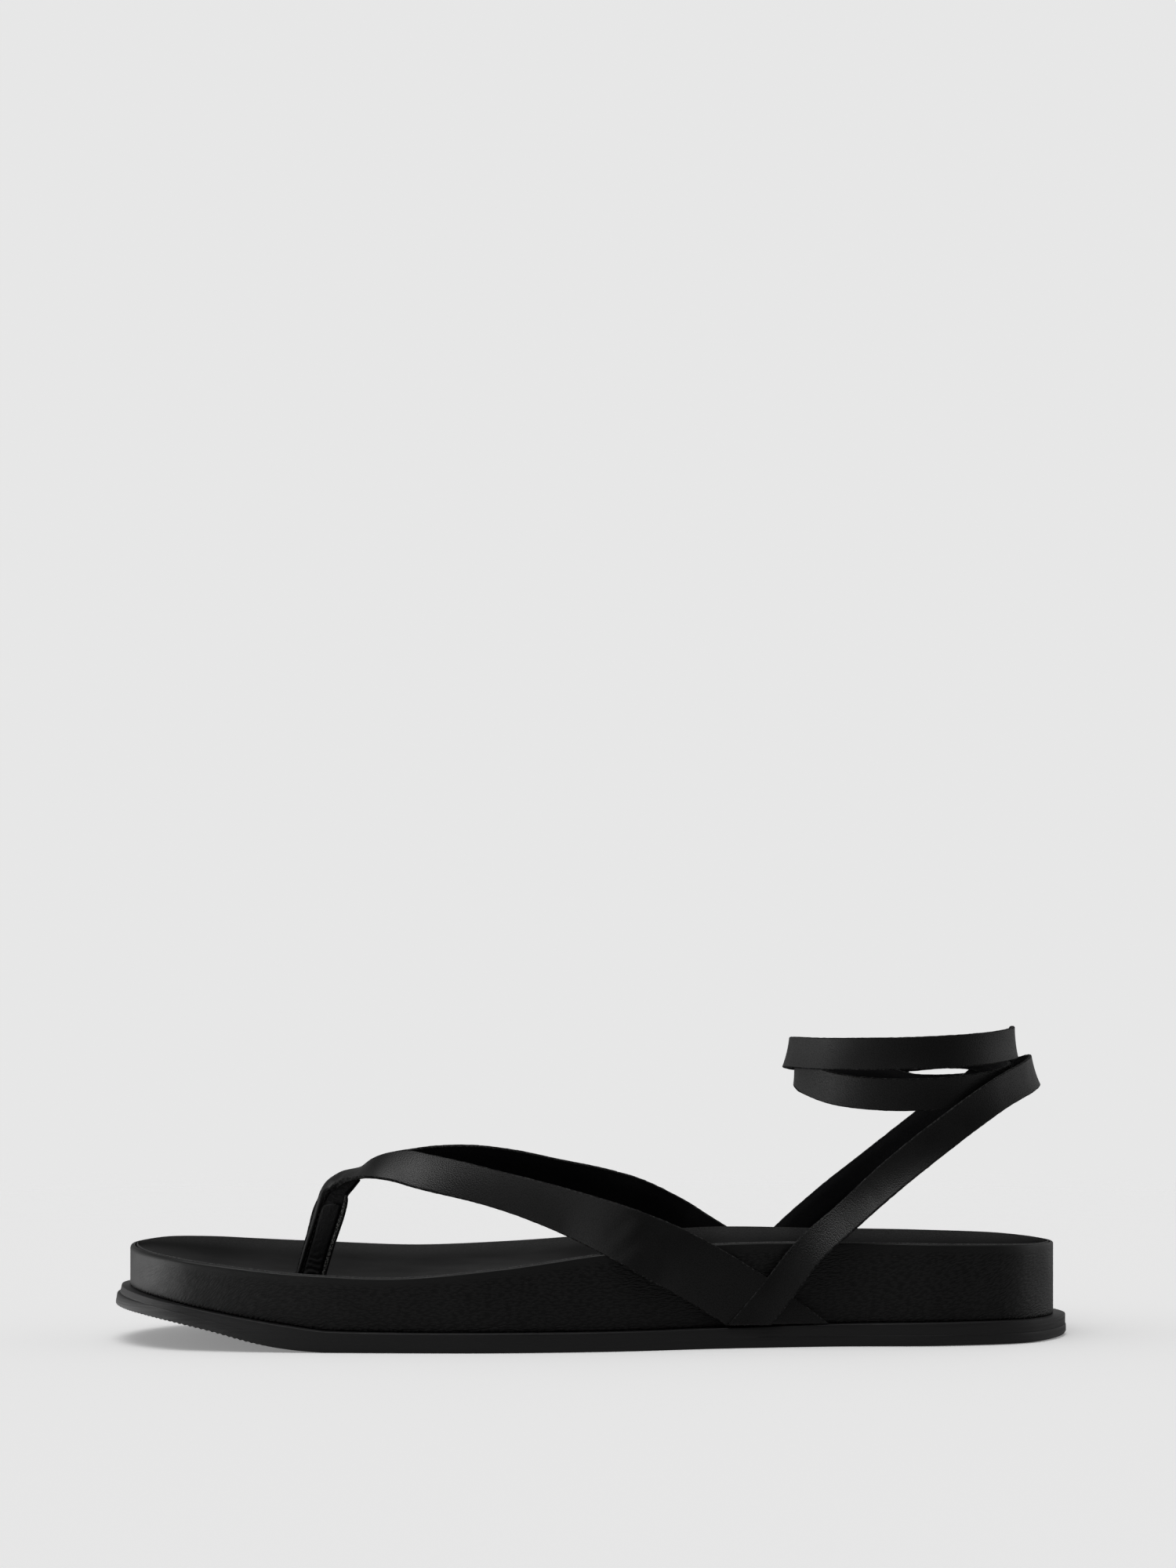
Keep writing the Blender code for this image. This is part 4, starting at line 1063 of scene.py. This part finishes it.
chosen[(across > PANEL_FROM) & (across < PANEL_TO)] = POST_PANEL
chosen[(across > SEAM_FROM) & (across < SEAM_TO) & (height < SEAM_TOP)] = POST_SEAM
post.data.polygons.foreach_set("material_index", chosen)
close_skin(post, 40)

panel_leather, tree, shader = new_material("soft_panel_leather", (0.004, 0.004, 0.0045), 0.5, 0.4)
laid_flat = coordinates(tree, "UV")
nap = noise(tree, laid_flat, 2400.0, 3.0)
soft = bump(tree, noise(tree, laid_flat, 1500.0, 2.0), 0.7, 0.2)
tree.links.new(bump(tree, nap, 0.4, 0.12, soft), shader.inputs["Normal"])
tree.links.new(varied(tree, nap, *PANEL_ROUGH), shader.inputs["Roughness"])

# Painted shade: the recesses beside the panels get a darker, less glossy leather than the panels.
groove_painted_shade, tree, shader = new_material("post_groove_painted_shade", (0.0015, 0.0015, 0.0018), 0.8, 0.15)
place = coordinates(tree, "Object")
fuzz = noise(tree, place, 2000.0, 3.0)
tree.links.new(varied(tree, fuzz, *GROOVE_ROUGH), shader.inputs["Roughness"])
tree.links.new(bump(tree, fuzz, 0.6, 0.2), shader.inputs["Normal"])

pale_seam, tree, shader = new_material("pale_raw_seam", (0.1, 0.1, 0.1), 0.8, 0.3)
place = coordinates(tree, "Object")
fibres = noise(tree, place, 2300.0, 3.0)
tree.links.new(two_tone(tree, fibres, 0.42, SEAM_DARK, 0.6, SEAM_PALE), shader.inputs["Base Color"])
tree.links.new(bump(tree, fibres, 0.8, 0.35), shader.inputs["Normal"])
for finish_of_part in (panel_leather, groove_painted_shade, pale_seam):
    post.data.materials.append(finish_of_part)
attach(post, "root")

thread, tree, shader = new_material("waxed_grey_thread", (0.03, 0.03, 0.03), 0.5, 0.4)
place = coordinates(tree, "Object")
twist = {"Vector": place, "Scale": 900.0}
plies = add_node(tree, "ShaderNodeTexWave", twist, bands_direction="DIAGONAL").outputs["Fac"]
tree.links.new(ramp_between(tree, plies, 0.0, 1.0, 0.42, 0.6), shader.inputs["Roughness"])
tree.links.new(bump(tree, plies, 0.4, 0.05), shader.inputs["Normal"])
stitches = []
for height in np.arange(FIRST_STITCH_Z, LAST_STITCH_Z, STITCH_PITCH):
    row = int(np.argmin(np.abs(rows[:, 1] - height)))
    tilt = math.atan2(ahead[row, 0], ahead[row, 1])
    groove = middle[row] + frontward[row] * (POST_WIDTH / 2 - STITCH_FROM_FRONT)
    for side in (-1, 1):
        seat = groove + outwards * side * (POST_HALF_THICK - STITCH_SUNK)
        bpy.ops.mesh.primitive_uv_sphere_add(segments=8, ring_count=6, radius=0.5 * MM)
        stitch = bpy.context.object
        stitch.scale = (STITCH_THICK, STITCH_THICK, STITCH_LENGTH)
        stitch.rotation_euler = (0.0, tilt, 0.0)
        stitch.location = Vector(seat) * MM
        stitches.append(stitch)
post_stitches = joined(stitches, "post_stitches")
bpy.ops.object.shade_smooth()
post_stitches.data.materials.append(thread)
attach(post_stitches, "root")

# Ankle straps: two narrow straps that start over the thong's ends at the ledge and rise behind the ankle.
# The long one winds round one and a half times and ends in the keeper; the short one holds the buckle.
ANKLE_WIDTH = 8.7
ANKLE_THICK = 1.5
ANKLE_CENTRE = (87.0, 1.0)
ANKLE_HALF_LENGTH = 32.0
ANKLE_HALF_WIDTH = 26.5
ANKLE_SINK = 0.15
ANKLE_CAMBER = -0.25
FreeSection = namedtuple("FreeSection", "x y z lean")
TurnSection = namedtuple("TurnSection", "angle spread z lean")
LONG_WALL = [
    WallSection(32.0, -4.0, ANKLE_WIDTH),
    WallSection(49.0, 15.6, ANKLE_WIDTH, 18),
    WallSection(57.0, 25.6, ANKLE_WIDTH, 29),
]
LONG_RISE = [FreeSection(67.0, -32.2, 34.3, 36), FreeSection(78.6, -30.6, 44.6, 25)]
LONG_TURNS = [
    TurnSection(-79, 3.0, 56.5, 8),
    TurnSection(-50, 2.6, 67.0, 10),
    TurnSection(-25, 2.6, 71.3, 15),
    TurnSection(0, 2.3, 72.8, 17),
    TurnSection(25, 2.8, 71.4, 13),
    TurnSection(45, 2.8, 68.0, 8),
    TurnSection(58, 2.6, 67.0, 5),
    TurnSection(70, 2.3, 66.6, 3),
    TurnSection(82, 1.2, 66.8, 0),
    TurnSection(100, -0.6, 69.2, 0),
    TurnSection(128, -2.2, 69.2, 0),
    TurnSection(155, -1.4, 70.2, 0),
    TurnSection(180, -0.8, 72.8, 0),
    TurnSection(205, -0.6, 70.4, 0),
    TurnSection(225, -0.3, 68.2, 0),
    TurnSection(250, 0.1, 66.8, 0),
    TurnSection(270, 0.2, 66.7, 0),
    TurnSection(315, -1.4, 68.8, 4),
    TurnSection(345, -3.8, 70.6, 6),
    TurnSection(360, -4.8, 71.2, 6),
    TurnSection(385, -3.6, 74.0, 4),
    TurnSection(402, -2.6, 76.2, 2),
    TurnSection(428, 0.4, 77.0, 0),
    TurnSection(443, 1.1, 76.2, 0),
    TurnSection(455, 2.9, 75.8, 0),
    TurnSection(466, 5.0, 75.8, 0),
    TurnSection(480, 4.5, 75.8, 0),
    TurnSection(500, 4.0, 75.8, 0),
]
SHORT_WALL = [
    WallSection(30.6, -4.0, ANKLE_WIDTH),
    WallSection(47.1, 14.5, ANKLE_WIDTH),
    WallSection(54.6, 22.8, ANKLE_WIDTH),
]
SHORT_RISE = [FreeSection(66.6, 36.4, 34.0, 0), FreeSection(80.6, 32.2, 45.6, 0)]
SHORT_TURNS = [
    TurnSection(77, 0.3, 57.0, 0),
    TurnSection(50, -0.4, 68.0, 2),
    TurnSection(25, -1.0, 76.0, 4),
    TurnSection(0, -3.5, 80.4, 7),
    TurnSection(-25, -1.8, 80.2, 6),
    TurnSection(-55, 0.2, 79.0, 4),
    TurnSection(-90, 1.2, 77.9, 3),
    TurnSection(-135, 1.1, 77.5, 8),
    TurnSection(-180, 1.25, 77.6, 14),
    TurnSection(-205, 1.4, 76.8, 6),
    TurnSection(-222, 1.4, 75.9, 1),
    TurnSection(-242, 1.3, 75.8, 0),
    TurnSection(-252, 1.3, 75.8, 0),
]
STRAP_TIP = 4.3
RISE_POLISHED = (20.0, 38.0, 58.0, 76.0)
LONG_CREASES = [
    Crease(62.0, 0.5, 1.6, 0.06, -0.2, 0.8),
    Crease(122.0, 0.3, 1.3, 0.09, 0.2, 0.8),
    Crease(131.0, -0.2, 1.1, 0.08, -0.3, 0.7),
    Crease(141.0, 0.15, 1.4, 0.09, 0.1, 0.9),
    Crease(223.0, 0.2, 1.2, 0.08, -0.2, 0.8),
    Crease(233.0, -0.15, 1.3, 0.09, 0.2, 0.7),
    Crease(318.0, 0.2, 1.4, 0.08, 0.0, 0.9),
    Crease(357.0, 0.1, 1.0, 0.1, 0.0, 1.0),
]
SHORT_CREASES = [
    Crease(60.0, -0.4, 1.6, 0.06, 0.1, 0.8),
    Crease(129.0, 0.2, 1.2, 0.08, -0.2, 0.8),
    Crease(138.0, -0.2, 1.3, 0.09, 0.2, 0.8),
    Crease(221.0, 0.2, 1.2, 0.08, 0.2, 0.7),
    Crease(230.0, -0.1, 1.4, 0.09, -0.2, 0.8),
]
STRAP_HOLES = (347.0, 357.0, 368.0, 379.0)
HOLE_RADIUS = 0.85
HOLE_SIDES = 24
PUNCH_LENGTH = 4.5


def ankle_point(angle, spread, z):
    """A place by its angle round the ankle from the heel, its distance off the ankle's oval and its height."""
    turned = math.radians(angle)
    along = ANKLE_CENTRE[0] + (ANKLE_HALF_LENGTH + spread) * math.cos(turned)
    aside = ANKLE_CENTRE[1] + (ANKLE_HALF_WIDTH + spread) * math.sin(turned)
    return Vector((along, aside, z))


def round_ankle(rise, turns):
    """Strap sections of an ankle strap once it has left the wall."""
    sections = [StrapSection(row.x, row.y, row.z, ANKLE_WIDTH, row.lean) for row in rise]
    for row in turns:
        sections.append(StrapSection(*ankle_point(row.angle, row.spread, row.z), ANKLE_WIDTH, row.lean))
    return sections


ankle_lift = WALL_GAP + THONG_THICK - ANKLE_SINK + ANKLE_THICK / 2
long_sections = on_wall(LONG_WALL, -1, ankle_lift) + round_ankle(LONG_RISE, LONG_TURNS)
short_sections = on_wall(SHORT_WALL, 1, ankle_lift) + round_ankle(SHORT_RISE, SHORT_TURNS)
long_strap = leather_strap("ankle_strap_long", long_sections, ANKLE_THICK, -1, ANKLE_CAMBER, RISE_POLISHED,
                           LONG_CREASES, round_tip=STRAP_TIP)
leather_strap("ankle_strap_short", short_sections, ANKLE_THICK, 1, ANKLE_CAMBER, RISE_POLISHED, SHORT_CREASES)

rows, places, across, out = strap_frame(long_sections, -1)
punches = []
for place in STRAP_HOLES:
    row = int(np.argmin(np.abs(places - place)))
    turned = Vector((0.0, 0.0, 1.0)).rotation_difference(Vector(out[row])).to_euler()
    bpy.ops.mesh.primitive_cylinder_add(vertices=HOLE_SIDES, radius=HOLE_RADIUS * MM, depth=PUNCH_LENGTH * MM,
                                        location=Vector(rows[row, :3]) * MM, rotation=turned)
    punches.append(bpy.context.object)
cut_out(long_strap, joined(punches, "strap_punches"))

# Buckle: a small frame and prong of dark metal wire on the lateral side, at the end of the short strap.
# The short strap's end is turned round the frame's bar, above and below the prong's eye.
BUCKLE_BAR = ankle_point(106, 1.6, 75.8)
BUCKLE_FAR_BAR = ankle_point(85.5, 3.3, 75.8)
FRAME_HALF_HEIGHT = 5.1
FRAME_CORNER = 1.2
FRAME_WIRE = 1.3
PRONG_WIRE = 1.1
PRONG_EYE = 1.65
PRONG_REST = 1.5
PRONG_PAST_BAR = 1.2
TURN_RADIUS = 2.0
TURN_BORE = 0.95
TURN_EASED = 0.3
TURN_STEPS = 41
PRONG_NOTCH = 3.0
PRONG_STEPS = 48
PRONG_TAPER = ((0, 0.6), (-3, 0.92), (-2, 0.78), (-1, 0.4))
PRONG_EYE_ANGLES = (330, 290, 250, 210, 170, 130, 90)
WIRE_SIDES = 14
METAL_COLOUR = (0.16, 0.16, 0.165)
METAL_ROUGH = (0.18, 0.4)

buckle_ahead = np.array((BUCKLE_FAR_BAR - BUCKLE_BAR).normalized())
buckle_up = np.array((0.0, 0.0, 1.0))
buckle_out = np.cross(buckle_up, buckle_ahead)
frame_length = (BUCKLE_FAR_BAR - BUCKLE_BAR).length


def by_buckle(ahead, out, up):
    """A place measured from the middle of the buckle's bar: towards the far bar, outwards and up."""
    return np.array(BUCKLE_BAR) + buckle_ahead * ahead + buckle_out * out + buckle_up * up


def eased_rectangle(half_length, half_height, corner, steps):
    """A rectangle with round corners: each point's two places from its middle, and the way it faces."""
    points = []
    for side, up, start in ((1, 1, 0), (-1, 1, 90), (-1, -1, 180), (1, -1, 270)):
        for angle in np.radians(np.linspace(start, start + 90, steps)):
            along = side * (half_length - corner) + corner * math.cos(angle)
            height = up * (half_height - corner) + corner * math.sin(angle)
            points.append((along, height, angle))
    return points


def bent_wire(name, path, thickness, flat_way, taper=()):
    """A round wire along a path that stays in one plane; flat_way is square to that plane."""
    path = np.asarray(path, float)
    ahead = np.gradient(path, axis=0)
    if np.allclose(path[0], path[-1]):
        ahead[0] = ahead[-1] = path[1] - path[-2]
    ahead /= np.linalg.norm(ahead, axis=1)[:, None]
    aside = np.cross(ahead, flat_way)
    radius = np.full(len(path), thickness / 2)
    for row, share in taper:
        radius[row] *= share
    turns = np.linspace(0.0, 2 * math.pi, WIRE_SIDES, endpoint=False)[None, :, None]
    section = np.cos(turns) * flat_way + np.sin(turns) * aside[:, None]
    wire = rolled_skin(name, path[:, None] + radius[:, None, None] * section)
    close_skin(wire, 50)
    wire.data.materials.append(metal)
    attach(wire, "root")
    return wire


metal, tree, shader = new_material("dark_buckle_metal", METAL_COLOUR, 0.28, 0.5)
shader.inputs["Metallic"].default_value = 1.0
place = coordinates(tree, "Object")
rub = noise(tree, place, 900.0, 3.0)
tree.links.new(varied(tree, rub, *METAL_ROUGH), shader.inputs["Roughness"])
tree.links.new(bump(tree, noise(tree, place, 3000.0, 2.0), 0.1, 0.05), shader.inputs["Normal"])

path = []
for ahead, up, angle in eased_rectangle(frame_length / 2, FRAME_HALF_HEIGHT, FRAME_CORNER, 9):
    path.append(by_buckle(frame_length / 2 + ahead, 0.0, up))
path.append(path[0])
buckle_frame = bent_wire("buckle_frame_wire", path, FRAME_WIRE, buckle_out)
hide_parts("buckle_frame")

knots = []
for angle in np.radians(PRONG_EYE_ANGLES):
    knots.append((PRONG_EYE * math.cos(angle), PRONG_EYE * math.sin(angle)))
knots.append((frame_length / 2, (PRONG_EYE + PRONG_REST) / 2))
knots.append((frame_length + PRONG_PAST_BAR, PRONG_REST))
knots = np.array(knots)
along = travelled(knots)
fine = smooth(along, knots, np.linspace(0.0, along[-1], PRONG_STEPS))
prong_path = [by_buckle(ahead, out, 0.0) for ahead, out in fine]
prong = bent_wire("buckle_prong_wire", prong_path, PRONG_WIRE, buckle_up, PRONG_TAPER)
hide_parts("buckle_prong")

turn_depth = (TURN_RADIUS - TURN_BORE) / 2
turn_height = (ANKLE_WIDTH - PRONG_NOTCH) / 4
middle_radius = (TURN_RADIUS + TURN_BORE) / 2
section = eased_rectangle(turn_depth, turn_height, TURN_EASED, 4)
for name, up in (("strap_turn_upper", 1), ("strap_turn_lower", -1)):
    middle_up = up * (PRONG_NOTCH / 2 + turn_height)
    rings = []
    for turned in np.linspace(0.0, 2 * math.pi, TURN_STEPS):
        ring = []
        for depth, height, angle in section:
            radius = middle_radius + depth
            ring.append(by_buckle(radius * math.cos(turned), radius * math.sin(turned), middle_up + height))
        rings.append(ring)
    strap_turn = rolled_skin(name, np.array(rings))
    point_values(strap_turn, "pebbling", np.ones(len(strap_turn.data.vertices)))
    close_skin(strap_turn, 50)
    strap_turn.data.materials.append(grain_leather)
    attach(strap_turn, "root")

# Keeper: a leather loop round the two ankle straps that holds the long strap's free tip.
# It is bent from one narrow strip of the straps' own pebbled leather, with its edges eased.
KEEPER_ANGLE = 128
KEEPER_SPREAD = 2.8
KEEPER_Z = 75.8
KEEPER_DEPTH = 6.0
KEEPER_HEIGHT = 9.5
KEEPER_THICK = 0.9
KEEPER_LENGTH = 5.0
KEEPER_CORNER = 1.0
KEEPER_EASED = 0.3

keeper_place = ankle_point(KEEPER_ANGLE, KEEPER_SPREAD, KEEPER_Z)
keeper_ahead = np.array((ankle_point(KEEPER_ANGLE - 1, KEEPER_SPREAD, KEEPER_Z) - keeper_place).normalized())
keeper_out = np.cross(buckle_up, keeper_ahead)
half_depth = (KEEPER_DEPTH + KEEPER_THICK) / 2
half_height = (KEEPER_HEIGHT + KEEPER_THICK) / 2
path = eased_rectangle(half_depth, half_height, KEEPER_CORNER, 7)
path.append(path[0])
section = eased_rectangle(KEEPER_THICK / 2, KEEPER_LENGTH / 2, KEEPER_EASED, 4)
rings = []
for out, up, angle in path:
    normal = keeper_out * math.cos(angle) + buckle_up * math.sin(angle)
    base = np.array(keeper_place) + keeper_out * out + buckle_up * up
    rings.append([base + normal * depth + keeper_ahead * ahead for depth, ahead, turned in section])
keeper = rolled_skin("keeper_loop", np.array(rings))
point_values(keeper, "pebbling", np.ones(len(keeper.data.vertices)))
close_skin(keeper, 50)
keeper.data.materials.append(grain_leather)
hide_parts("strap_keeper")
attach(keeper, "root")
